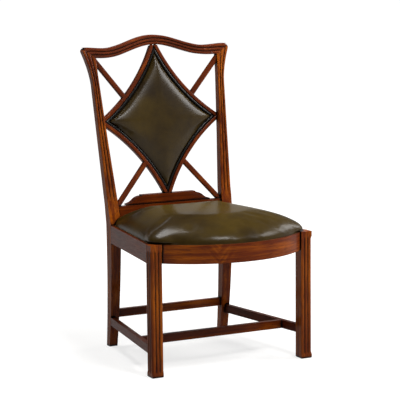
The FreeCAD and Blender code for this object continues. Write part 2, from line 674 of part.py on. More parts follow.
def build_frame():
    """Every piece of the show-wood frame, the right side first and the left mirrored from it."""
    leg = front_leg()
    post = back_post()
    crest = crest_rail()

    # Ears: post and crest share a mitre, held by a tenon in the thickness of both
    rounding = ear_rounding()
    post = post.cut(rounding)
    crest = crest.cut(rounding).cut(mirrored(rounding))
    mitre_x = (EAR_INNER + EAR_OUTER) / 2
    mitre_z = (EAR_INNER_HEIGHT + EAR_OUTER_HEIGHT) / 2
    tenon_y = post_front(mitre_z) + POST_NECK_DEPTH / 2
    ear_tenon = box(mitre_x - EAR_TENON_HALF, mitre_x + EAR_TENON_HALF, tenon_y - TENON_THICK / 2,
                    tenon_y + TENON_THICK / 2, mitre_z - EAR_TENON_LONG, mitre_z + EAR_TENON_LONG)
    ear_mortise = grown(ear_tenon, GLUE_GAP)
    post = post.fuse(ear_tenon).removeSplitter()
    crest = crest.cut(ear_mortise).cut(mirrored(ear_mortise))

    # Seat rails
    well = seat_plate(0, WELL_FLOOR, SEAT_RAIL_TOP + SEAT_CROWN)
    low, high = rail_tenon_heights(SEAT_RAIL_BOTTOM, WELL_FLOOR)
    side = side_bar(SIDE_RAIL_INSET, SIDE_RAIL_THICK, POST_SEAT_OUTER,
                    POST_SEAT_FRONT + TENON_LONG, SEAT_RAIL_BOTTOM, SEAT_RAIL_TOP)
    front_mid = LEG_OUTER - SIDE_RAIL_INSET - SIDE_RAIL_THICK / 2
    rear_mid = POST_SEAT_OUTER - SIDE_RAIL_INSET - SIDE_RAIL_THICK / 2
    half = TENON_THICK / 2
    side_tenons = [
        box(front_mid - half, front_mid + half, LEG_SIZE - TENON_LONG, LEG_SIZE + TENON_LONG, low, high),
        box(rear_mid - half, rear_mid + half, POST_SEAT_FRONT - TENON_LONG,
            POST_SEAT_FRONT + TENON_LONG, low, high),
    ]
    side, (leg, post) = tenoned(side, [leg, post], side_tenons)
    side = side.cut(well)

    front = front_rail()
    tenon_mid = FRONT_RAIL_SETBACK + FRONT_RAIL_THICK - TENON_THICK / 2 - GLUE_GAP
    front_tenon = box(LEG_INNER - TENON_LONG / 2, LEG_INNER + TENON_LONG - TENON_THICK / 2,
                      tenon_mid - half, tenon_mid + half, low, high)
    front, (leg,) = tenoned(front, [leg], [front_tenon])
    front = front.cut(mirrored(leg)).fuse(mirrored(front_tenon)).cut(well).removeSplitter()
    leg = leg.cut(well)

    rear_back = REAR_RAIL_FRONT + REAR_RAIL_THICK
    rear_half = POST_SEAT_OUTER - POST_SEAT_WIDTH / 2
    rear = box(-rear_half, rear_half, REAR_RAIL_FRONT, rear_back, SEAT_RAIL_BOTTOM, REAR_RAIL_TOP)
    tenon_mid = rear_back - REAR_RAIL_THICK / 2
    inner = POST_SEAT_OUTER - POST_SEAT_WIDTH
    rear_tenon = box(inner - TENON_LONG, inner + TENON_LONG, tenon_mid - half, tenon_mid + half,
                     low, REAR_RAIL_TOP - TENON_LONG)
    rear, (post,) = tenoned(rear, [post], [rear_tenon])
    rear = rear.cut(mirrored(post)).fuse(mirrored(rear_tenon)).removeSplitter()

    # Stretchers
    low, high = rail_tenon_heights(STRETCHER_BOTTOM, STRETCHER_TOP)
    rear_y = post_front(STRETCHER_MIDDLE)
    rear_outer = post_outer(STRETCHER_MIDDLE)
    runner = side_bar(STRETCHER_INSET, STRETCHER_THICK, rear_outer, rear_y + STUB_TENON,
                      STRETCHER_BOTTOM, STRETCHER_TOP)
    front_mid = LEG_OUTER - STRETCHER_INSET - STRETCHER_THICK / 2
    rear_mid = rear_outer - STRETCHER_INSET - STRETCHER_THICK / 2
    runner_tenons = [
        box(front_mid - half, front_mid + half, LEG_SIZE - TENON_LONG, LEG_SIZE + TENON_LONG, low, high),
        box(rear_mid - half, rear_mid + half, rear_y - TENON_LONG, rear_y + TENON_LONG, low, high),
    ]
    runner, (leg, post) = tenoned(runner, [leg, post], runner_tenons)
    share = (CROSS_STRETCHER_Y - LEG_SIZE) / (rear_y + STUB_TENON - LEG_SIZE)
    runner_mid = front_mid + (rear_mid - front_mid) * share
    runner_inner = runner_mid - STRETCHER_THICK / 2
    cross_low = CROSS_STRETCHER_Y - STRETCHER_THICK / 2
    cross = box(-runner_mid, runner_mid, cross_low, cross_low + STRETCHER_THICK,
                STRETCHER_BOTTOM, STRETCHER_TOP)
    cross_tenon = box(runner_inner - TENON_LONG, runner_inner + STUB_TENON, CROSS_STRETCHER_Y - half,
                      CROSS_STRETCHER_Y + half, low, high)
    cross, (runner,) = tenoned(cross, [runner], [cross_tenon])
    cross = cross.cut(mirrored(runner)).fuse(mirrored(cross_tenon)).removeSplitter()

    back_top = REAR_STRETCHER_BOTTOM + STRETCHER_HEIGHT
    back_mid = REAR_STRETCHER_BOTTOM + STRETCHER_HEIGHT / 2
    back_y = post_front(back_mid) + REAR_STRETCHER_SETBACK
    low, high = STRETCHER_TOP + TENON_SHOULDER, back_top - TENON_SHOULDER
    post_middle = post_outer(back_mid) - POST_FOOT_WIDTH / 2
    tie = box(-post_middle, post_middle, back_y, back_y + STRETCHER_THICK, REAR_STRETCHER_BOTTOM, back_top)
    tie_inner = post_outer(back_mid) - POST_FOOT_WIDTH
    tie_tenon = box(tie_inner - TENON_LONG, tie_inner + STUB_TENON, back_y + half,
                    back_y + half + TENON_THICK, low, high)
    tie, (post,) = tenoned(tie, [post], [tie_tenon])
    tie = tie.cut(mirrored(post)).fuse(mirrored(tie_tenon)).removeSplitter()

    # Shoe, with a stepped top and ogee ends, on the rear rail
    shoe = splat_shoe().cut(post).cut(mirrored(post))

    # Diamond rails and beads
    rails = {}
    upper = diamond_ring(0, DIAMOND_RAIL_WIDTH, 0, DIAMOND_RAIL_THICK, DIAMOND_RAIL_ROUND)
    bead_in = DIAMOND_RAIL_WIDTH + GLUE_GAP
    bead = diamond_ring(bead_in, DIAMOND_RAIL_WIDTH + BEAD_WIDTH, BEAD_SETBACK,
                        BOARD_FRONT - GLUE_GAP, BEAD_ROUND)
    tip_y = PANEL_FRONT + PANEL_LEAN * (DIAMOND_TOP - SHOE_TOP) + DIAMOND_RAIL_THICK / 2
    side_y = PANEL_FRONT + PANEL_LEAN * (DIAMOND_MIDDLE - SHOE_TOP) + DIAMOND_RAIL_THICK / 2
    foot_y = PANEL_FRONT + DIAMOND_RAIL_THICK / 2
    thin = TIP_TENON_THICK / 2
    low, high = TIP_TENON_OFF, TIP_TENON_OFF + TIP_TENON_WIDE
    root = TIP_TENON_ROOT
    top_tenon = box(low, high, tip_y - thin, tip_y + thin, DIAMOND_TOP - root, DIAMOND_TOP + TIP_TENON)
    foot_tenon = box(low, high, foot_y - thin, foot_y + thin, SHOE_TOP - TIP_TENON, SHOE_TOP + root)
    root_x = diamond_reach()
    reach = root_x + TIP_TENON
    side_front = side_y - DIAMOND_RAIL_THICK / 4
    upper_side = box(root_x, reach, side_front - thin, side_front + thin,
                     DIAMOND_MIDDLE + low, DIAMOND_MIDDLE + high)
    lower_side = box(root_x, reach, side_front - thin, side_front + thin,
                     DIAMOND_MIDDLE - high, DIAMOND_MIDDLE - low)
    upper_rail = lean_back(upper).cut([post, crest]).fuse([top_tenon, upper_side]).removeSplitter()
    lower_rail = lean_back(over(upper)).cut([post, shoe]).fuse([foot_tenon, lower_side]).removeSplitter()
    post = post.cut([grown(upper_side, GLUE_GAP), grown(lower_side, GLUE_GAP)])
    for tenon in (top_tenon, mirrored(top_tenon)):
        crest = crest.cut(grown(tenon, GLUE_GAP))
    for tenon in (foot_tenon, mirrored(foot_tenon)):
        shoe = shoe.cut(grown(tenon, GLUE_GAP))
    rails["diamond_rail_upper"] = upper_rail
    rails["diamond_rail_lower"] = lower_rail
    rails["diamond_bead_upper"] = lean_back(bead).cut([post, crest])
    rails["diamond_bead_lower"] = lean_back(over(bead)).cut([post, shoe])

    # Braces run from the corners of the back to the middles of the diamond's sides
    upper_x, upper_s = diamond_point(UPPER_BRACE_SHARE)
    upper_brace = brace(EAR_INNER - UPPER_BRACE_IN, EAR_INNER_HEIGHT - UPPER_BRACE_DROP,
                        UPPER_BRACE_SETBACK, upper_x, upper_s)
    upper_brace = upper_brace.cut([post, crest, upper_rail])
    lower_x, lower_s = diamond_point(LOWER_BRACE_SHARE)
    lower_brace = brace(POST_SEAT_OUTER - POST_SEAT_WIDTH - LOWER_BRACE_IN,
                        REAR_RAIL_TOP + LOWER_BRACE_RISE, LOWER_BRACE_SETBACK,
                        lower_x, 2 * PANEL_MIDDLE - lower_s)
    lower_brace = lower_brace.cut([post, shoe, rear, lower_rail])
    rails["brace_upper"] = max(upper_brace.Solids, key=lambda s: s.Volume)
    rails["brace_lower"] = max(lower_brace.Solids, key=lambda s: s.Volume)

    # Corner blocks, screwed to the legs
    rails["corner_block_front"] = corner_block(*screw_line_front(), [leg, side, front])
    rails["corner_block_rear"] = corner_block(*screw_line_rear(), [post, side, rear])
    screws = [screw(*screw_line_front()), screw(*screw_line_rear())]
    front_hole = pilot(*screw_line_front(), SCREW_SHANK, SCREW_LONG)
    rear_hole = pilot(*screw_line_rear(), SCREW_SHANK, SCREW_LONG)
    leg = leg.cut(front_hole)
    front = front.cut([front_hole, mirrored(front_hole)])
    post = post.cut(rear_hole)
    rear = rear.cut([rear_hole, mirrored(rear_hole)])

    nodes = {}
    pairs = {"front_leg": leg, "back_post": post, "side_seat_rail": side, "side_stretcher": runner}
    pairs.update(rails)
    for name, shape in pairs.items():
        nodes[name + "_right"] = shape
        nodes[name + "_left"] = mirrored(shape)
    nodes["crest_rail"] = crest
    nodes["front_seat_rail"] = front
    nodes["rear_seat_rail"] = rear
    nodes["cross_stretcher"] = cross
    nodes["rear_stretcher"] = tie
    nodes["splat_shoe"] = shoe
    nodes["corner_block_screws"] = Part.makeCompound(screws + [mirrored(s) for s in screws])
    return nodes


def splat_shoe():
    """Front view: flat top, a small step, an ogee down to thin ends on the rail."""
    base = REAR_RAIL_TOP
    end = SHOE_FOOT_HALF_LENGTH
    edge = base + SHOE_EDGE_HEIGHT
    step_z = SHOE_TOP - SHOE_STEP
    step_x = SHOE_HALF_LENGTH + SHOE_STEP
    bend_x = (step_x + end) / 2
    bend_z = (step_z + edge) / 2

    def at(x, z):
        return V(x, SHOE_FRONT, z)

    def bulge(near, far, share):
        return near * share + far * (1 - share)

    def half(sign):
        hollow = at(sign * bulge(end, bend_x, OGEE_ALONG), bulge(edge, bend_z, OGEE_UP))
        swell = at(sign * bulge(step_x, bend_x, OGEE_ALONG), bulge(step_z, bend_z, OGEE_UP))
        bend = at(sign * bend_x, bend_z)
        return [
            Part.Arc(at(sign * end, edge), hollow, bend).toShape(),
            Part.Arc(bend, swell, at(sign * step_x, step_z)).toShape(),
            line(at(sign * step_x, step_z), at(sign * SHOE_HALF_LENGTH, step_z)),
            line(at(sign * SHOE_HALF_LENGTH, step_z), at(sign * SHOE_HALF_LENGTH, SHOE_TOP)),
        ]

    edges = half(1) + half(-1)
    edges.append(line(at(SHOE_HALF_LENGTH, SHOE_TOP), at(-SHOE_HALF_LENGTH, SHOE_TOP)))
    edges.append(line(at(end, edge), at(end, base)))
    edges.append(line(at(end, base), at(-end, base)))
    edges.append(line(at(-end, base), at(-end, edge)))
    outline = Part.Wire(Part.__sortEdges__(edges))
    return Part.Face(outline).extrude(V(0, SHOE_THICK, 0))


def screw_line_front():
    """Head point and direction of the screw through a right front corner block into the leg."""
    aim = V(LEG_INNER, LEG_SIZE, 0)
    direction = V(1, -1, 0).normalize()
    start = aim - direction * BLOCK_FACE
    return V(start.x, start.y, WELL_FLOOR - BLOCK_DROP - BLOCK_HEIGHT / 2), direction


def screw_line_rear():
    """Head point and direction of the screw through a right rear corner block into the post."""
    aim = V(POST_SEAT_OUTER - POST_SEAT_WIDTH, POST_SEAT_FRONT, 0)
    direction = V(1, 1, 0).normalize()
    start = aim - direction * BLOCK_FACE
    return V(start.x, start.y, WELL_FLOOR - BLOCK_DROP - BLOCK_HEIGHT / 2), direction


def corner_block(point, direction, hosts):
    """Block across a corner of the seat frame, scribed to the pieces it is glued to."""
    top = WELL_FLOOR - BLOCK_DROP
    across = V(-direction.y, direction.x, 0) * BLOCK_LEG
    far = direction * BLOCK_LEG
    corners = [point + across, point - across, point - across + far, point + across + far]
    block = plan_prism([(p.x, p.y) for p in corners], top - BLOCK_HEIGHT, top).cut(hosts)
    block = min(block.Solids, key=lambda s: (s.CenterOfMass - point).Length)
    return block.cut(pilot(point, direction, SCREW_SHANK, SCREW_LONG))


def build_back_pad():
    """Board, stuffing, leather and tacks inside the diamond."""
    inside = DIAMOND_RAIL_WIDTH + GLUE_GAP
    board = diamond_plate(inside, BOARD_FRONT, BOARD_FRONT + BOARD_THICK)
    back = BOARD_FRONT + BOARD_THICK + LEATHER_GAP
    outside = diamond_plate(inside, back, back + LEATHER)
    cover = pad_form(0)
    foam = pad_form(LEATHER + LEATHER_GAP)
    leather = cover.cut(pad_form(LEATHER))
    tacks = []
    holes = []
    direction = V(0, -1, 0)
    for edge in diamond_outline(inside + TACK_HEAD, back + LEATHER).Edges:
        points = edge.discretize(PANEL_TACKS_PER_SIDE + 2)[1:-1]
        tacks += [tack(p, direction, PANEL_TACK_LONG) for p in points]
        holes += [pilot(p, direction, TACK_SHANK, PANEL_TACK_LONG) for p in points]
    drilled = Part.makeCompound(holes)
    flat = {
        "back_panel_board": board.cut(drilled),
        "back_foam": foam,
        "back_leather_front": leather,
        "back_leather_outside": outside.cut(drilled),
        "back_panel_tacks": Part.makeCompound(tacks),
    }
    return {name: lean_back(shape) for name, shape in flat.items()}


def build_seat():
    """Drop-in seat: a wooden frame, webbing, stuffing, leather, tacks and a dust cover."""
    flange_top = SEAT_BASE + SEAT_LEATHER
    frame_top = flange_top + SEAT_FRAME_THICK
    edge = SEAT_GAP + SEAT_LEATHER + LEATHER_GAP
    room = post_room(SEAT_BASE - 1, frame_top + 1, edge)
    whole = seat_plate(edge, flange_top + LEATHER_GAP, frame_top)
    opening = seat_plate(edge + SEAT_FRAME_WIDTH, flange_top, frame_top)
    ring = whole.cut(opening).cut(room)
    front_line = FRONT_RAIL_SETBACK + SEAT_FRAME_WIDTH
    rear_line = REAR_RAIL_FRONT - edge - SEAT_FRAME_WIDTH
    reach = FRONT_WIDTH
    front = ring.common(box(-reach, reach, -reach, front_line, 0, reach))
    rear = ring.common(box(-reach, reach, rear_line, 2 * reach, 0, reach))
    right = ring.common(box(0, reach, front_line, rear_line, 0, reach))
    third = SEAT_FRAME_THICK / 3
    tongue_low = flange_top + third
    tongue_high = frame_top - third
    front_x = seat_side(front_line, edge + SEAT_FRAME_WIDTH / 2)
    rear_x = seat_side(rear_line, edge + SEAT_FRAME_WIDTH / 2)
    front_tongue = box(front_x - STUB_TENON, front_x + STUB_TENON, front_line - STUB_TENON,
                       front_line + STUB_TENON, tongue_low, tongue_high)
    rear_tongue = box(rear_x - STUB_TENON, rear_x + STUB_TENON, rear_line - STUB_TENON,
                      rear_line + STUB_TENON, tongue_low, tongue_high)
    right = right.fuse(front_tongue).fuse(rear_tongue).removeSplitter()
    for tongue in (front_tongue, mirrored(front_tongue)):
        front = front.cut(grown(tongue, GLUE_GAP))
    for tongue in (rear_tongue, mirrored(rear_tongue)):
        rear = rear.cut(grown(tongue, GLUE_GAP))

    # Webbing strips lie on the frame, crosswise ones over lengthwise ones
    first = frame_top + GLUE_GAP
    second = first + WEBBING_THICK + GLUE_GAP
    web_half = WEBBING_WIDTH / 2
    web_inset = edge + SEAT_FRAME_WIDTH / 3
    web_area = seat_plate(web_inset, first, second + WEBBING_THICK)
    web_area = web_area.cut(post_room(first, second + WEBBING_THICK, web_inset))
    pitch_x = 2 * rear_x / (WEBBING_STRIPS + 1)
    pitch_y = (rear_line - front_line) / (WEBBING_STRIPS + 1)
    lengthwise = []
    crosswise = []
    for n in range(WEBBING_STRIPS):
        x = (n - (WEBBING_STRIPS - 1) / 2) * pitch_x
        y = front_line + (n + 1) * pitch_y
        strip = box(x - web_half, x + web_half, -reach, reach, first, first + WEBBING_THICK)
        lengthwise.append(strip.common(web_area))
        strip = box(-reach, reach, y - web_half, y + web_half, second, second + WEBBING_THICK)
        crosswise.append(strip.common(web_area))
    foam_base = second + WEBBING_THICK + GLUE_GAP

    # Leather is a skin over stuffing and frame, turned under the frame's edge
    skin = seat_form(0, SEAT_BASE).cut(seat_form(SEAT_LEATHER, flange_top))
    skin = skin.cut(seat_plate(edge + SEAT_FLANGE, SEAT_BASE - 1, flange_top + 1))
    foam = seat_form(SEAT_LEATHER + LEATHER_GAP, SEAT_BASE)
    foam = foam.cut(box(-reach, reach, -reach, reach, 0, foam_base))
    cover_edge = edge + SEAT_FLANGE + GLUE_GAP
    dust = seat_plate(cover_edge, flange_top - DUST_COVER_THICK, flange_top)
    dust = dust.cut(post_room(SEAT_BASE, frame_top, cover_edge))

    # Tacks hold the turned-under leather, clear of the rebate that carries the seat
    tack_inset = edge + SEAT_FLANGE - TACK_HEAD
    tacks = []
    holes = []
    tack_row = seat_outline(tack_inset, SEAT_BASE).Edges
    for wire_edge in (tack_row[0], tack_row[2], tack_row[4]):
        points = wire_edge.discretize(SEAT_TACKS_PER_SIDE + 2)[1:-1]
        tacks += [tack(p, V(0, 0, 1), SEAT_TACK_LONG) for p in points]
        holes += [pilot(p, V(0, 0, 1), TACK_SHANK, SEAT_TACK_LONG) for p in points]
    drilled = Part.makeCompound(holes)
    return {
        "seat_frame_front": front.cut(drilled),
        "seat_frame_rear": rear.cut(drilled),
        "seat_frame_right": right.cut(drilled),
        "seat_frame_left": mirrored(right).cut(drilled),
        "seat_webbing_lengthwise": Part.makeCompound(lengthwise),
        "seat_webbing_crosswise": Part.makeCompound(crosswise),
        "seat_foam": foam,
        "seat_leather": skin.cut(drilled),
        "seat_dust_cover": dust,
        "seat_tacks": Part.makeCompound(tacks),
    }


def main():
    nodes = build_frame()
    nodes.update(build_back_pad())
    nodes.update(build_seat())
    reach = max(point.y for point in nodes["crest_rail"].tessellate(0.05)[0])
    to_middle = V(0, -(reach + BOW_APEX) / 2, 0)
    os.makedirs("parts", exist_ok=True)
    for name, shape in nodes.items():
        shape.translate(to_middle)
        shape.exportStep("parts/%s.step" % name)
        solids = len(shape.Solids)
        print("%-28s solids %2d  volume %9.0f  valid %s" % (name, solids, shape.Volume, shape.isValid()))
    print("moved back by %.3f" % to_middle.y)


main()
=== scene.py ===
"""Looks of a dining side chair with a diamond leather back and a drop-in leather seat.

Metres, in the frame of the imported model: +Z up, the chair faces -Y, and +X is to the right of someone who
looks at its front.
"""

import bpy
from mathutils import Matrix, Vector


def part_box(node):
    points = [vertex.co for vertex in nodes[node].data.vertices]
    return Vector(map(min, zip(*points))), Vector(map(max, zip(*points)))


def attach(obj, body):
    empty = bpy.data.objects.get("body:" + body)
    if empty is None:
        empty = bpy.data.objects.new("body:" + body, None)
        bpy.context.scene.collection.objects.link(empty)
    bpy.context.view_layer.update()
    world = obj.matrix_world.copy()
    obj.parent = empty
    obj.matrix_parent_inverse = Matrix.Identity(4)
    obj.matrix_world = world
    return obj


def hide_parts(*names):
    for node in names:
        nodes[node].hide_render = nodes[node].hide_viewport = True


bl_info = {
    "name": "Diamond-back dining chair",
    "version": (1, 0, 0),
    "blender": (4, 5, 0),
    "location": "View3D > Sidebar > Chair",
    "description": "Dresses a joined dining chair: polished mahogany, black beads and stuffed leather",
    "category": "Object",
}

import math

import bpy
from bpy.props import FloatProperty, FloatVectorProperty, IntProperty, PointerProperty, StringProperty
from mathutils import Matrix, Vector

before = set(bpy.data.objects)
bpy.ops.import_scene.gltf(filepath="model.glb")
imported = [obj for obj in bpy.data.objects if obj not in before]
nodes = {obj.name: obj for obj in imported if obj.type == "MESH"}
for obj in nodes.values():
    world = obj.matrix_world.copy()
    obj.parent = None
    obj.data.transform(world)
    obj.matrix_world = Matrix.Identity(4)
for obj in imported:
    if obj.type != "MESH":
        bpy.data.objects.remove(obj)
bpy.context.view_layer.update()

MM = 0.001
SIDES = ("right", "left")
QUARTER_TURN = math.pi / 2

MERGE_WITHIN = 0.005 * MM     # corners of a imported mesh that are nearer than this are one
FLAT_ANGLE = 0.02             # faces that turn by less, in radians, are one flat
CRISP_ANGLE = 0.6             # an edge that turns by more, in radians, stays crisp
LEATHER_THICK = 1.2 * MM
LINING_THICK = 0.6 * MM


class LeatherSettings(bpy.types.PropertyGroup):
    """Stuffed leather of seat and back."""

    seat_voxel: FloatProperty(
        name="Seat mesh size", description="Face size of the seat before it is blown up",
        default=5.6 * MM, unit="LENGTH")
    seat_pressure: FloatProperty(
        name="Seat pressure", description="How hard the stuffing pushes the seat's leather out", default=4.0)
    seat_swell: FloatProperty(
        name="Seat swell", description="Furthest that the seat's leather may move",
        default=7 * MM, unit="LENGTH")
    back_voxel: FloatProperty(
        name="Back mesh size", description="Face size of the back pad before it is blown up",
        default=3.5 * MM, unit="LENGTH")
    back_pressure: FloatProperty(
        name="Back pressure", description="How hard the stuffing pushes the back's leather out", default=4.0)
    back_swell: FloatProperty(
        name="Back swell", description="Furthest that the back's leather may move",
        default=3 * MM, unit="LENGTH")
    frames: IntProperty(
        name="Frames", description="Frames that the leather is given to settle", default=20)
    seat_tight: IntProperty(
        name="Seat tightness", description="Rounds of smoothing that draw wrinkles out of the seat",
        default=14)
    back_tight: IntProperty(
        name="Back tightness", description="Rounds of smoothing that draw wrinkles out of the back",
        default=12)
    corner_lap: FloatVectorProperty(
        name="Corner lap",
        description="How far the stuffed front corners swell over the legs, sideways and forwards",
        default=(8 * MM, 10 * MM), size=2, unit="LENGTH")
    pleats: IntProperty(
        name="Pleats", description="Folds of leather at each front corner of the seat", default=4)
    pleat_depth: FloatProperty(
        name="Pleat depth", description="Depth of a fold at the rail", default=1.6 * MM, unit="LENGTH")
    pleat_height: FloatProperty(
        name="Pleat height", description="Height over the rail at which a fold has died away",
        default=26 * MM, unit="LENGTH")
    lining_sag: FloatProperty(
        name="Lining sag", description="How far the black lining hangs in its middle",
        default=4 * MM, unit="LENGTH")
    outside_crown: FloatProperty(
        name="Outside crown", description="How far the leather behind the back stands out in its middle",
        default=2.5 * MM, unit="LENGTH")


class FinishSettings(bpy.types.PropertyGroup):
    """Colours, written as sRGB hex."""

    wood_light: StringProperty(
        name="Wood, light", description="Light bands of the mahogany", default="#A9560B")
    wood_mid: StringProperty(
        name="Wood, middle", description="Body colour of the mahogany", default="#652706")
    wood_dark: StringProperty(name="Wood, dark", description="Pores and dark bands", default="#351204")
    # Dark wax, also used as painted shade in the mahogany's hollows and at its joints
    wax_and_shade: StringProperty(name="Glaze", description="Dark wax left in the hollows", default="#0C0301")
    worn: StringProperty(name="Worn edge", description="Polish rubbed through on edges", default="#A4642A")
    ebony: StringProperty(name="Black bead", description="Ebonised bead round the leather", default="#0D0906")
    leather_light: StringProperty(
        name="Leather, light", description="Rubbed crown of the leather", default="#57440C")
    leather_dark: StringProperty(
        name="Leather, dark", description="Leather towards its edges", default="#261A05")
    beech: StringProperty(name="Beech", description="Bare wood of blocks and seat frame", default="#B58A58")
    jute: StringProperty(name="Jute", description="Webbing", default="#9A7C4E")
    lining: StringProperty(name="Lining", description="Black cloth under the seat", default="#16161A")
    brass: StringProperty(name="Brass", description="Heads of the tacks", default="#8F6E34")
    steel: StringProperty(name="Steel", description="Screws of the corner blocks", default="#8C8A86")


class StageSettings(bpy.types.PropertyGroup):
    """Camera, lamps and floor."""

    camera_place: FloatVectorProperty(
        name="Camera", description="Place of the camera", default=(-2.3705, -4.6943, 1.2485),
        subtype="TRANSLATION", unit="LENGTH")
    camera_turn: FloatVectorProperty(
        name="Turn", description="Pitch over the horizon, roll and heading of the camera",
        default=(-0.1417, -0.0105, -0.4694), subtype="EULER")
    lens: FloatProperty(
        name="Lens", description="Focal length on a 36 mm sensor, in millimetres", default=149.44)
    floor: StringProperty(name="Floor", description="Pale floor", default="#A3A2A0")
    floor_glow: FloatProperty(
        name="Floor glow",
        description="What the floor adds near the chair to reach white where no shadow falls",
        default=0.71)
    sky: FloatProperty(name="Fill", description="Light from all round", default=0.13)


def settings():
    return bpy.context.scene.chair_looks


def linear(text):
    """Linear RGBA from an sRGB hex colour."""
    values = [int(text[i:i + 2], 16) / 255 for i in (1, 3, 5)]
    return [v / 12.92 if v <= 0.04045 else ((v + 0.055) / 1.055) ** 2.4 for v in values] + [1.0]


def add(tree, kind, links=None, values=None, **options):
    """Adds a node, sets its options and its inputs' values, and links outputs to its inputs."""
    node = tree.nodes.new(kind)
    for name, value in options.items():
        setattr(node, name, value)
    for socket, value in (values or {}).items():
        node.inputs[socket].default_value = value
    for socket, output in (links or {}).items():
        tree.links.new(output, node.inputs[socket])
    return node


def ramp(tree, factor, stops):
    """Colour ramp through (place, colour) stops."""
    node = add(tree, "ShaderNodeValToRGB", {"Fac": factor})
    elements = node.color_ramp.elements
    while len(elements) < len(stops):
        elements.new(0.5)
    for element, (place, colour) in zip(elements, stops):
        element.position = place
        element.color = colour
    return node.outputs["Color"]


def new_material(name):
    material = bpy.data.materials.new(name)
    material.use_nodes = True
    tree = material.node_tree
    tree.nodes.clear()
    output = add(tree, "ShaderNodeOutputMaterial")
    return material, tree, output


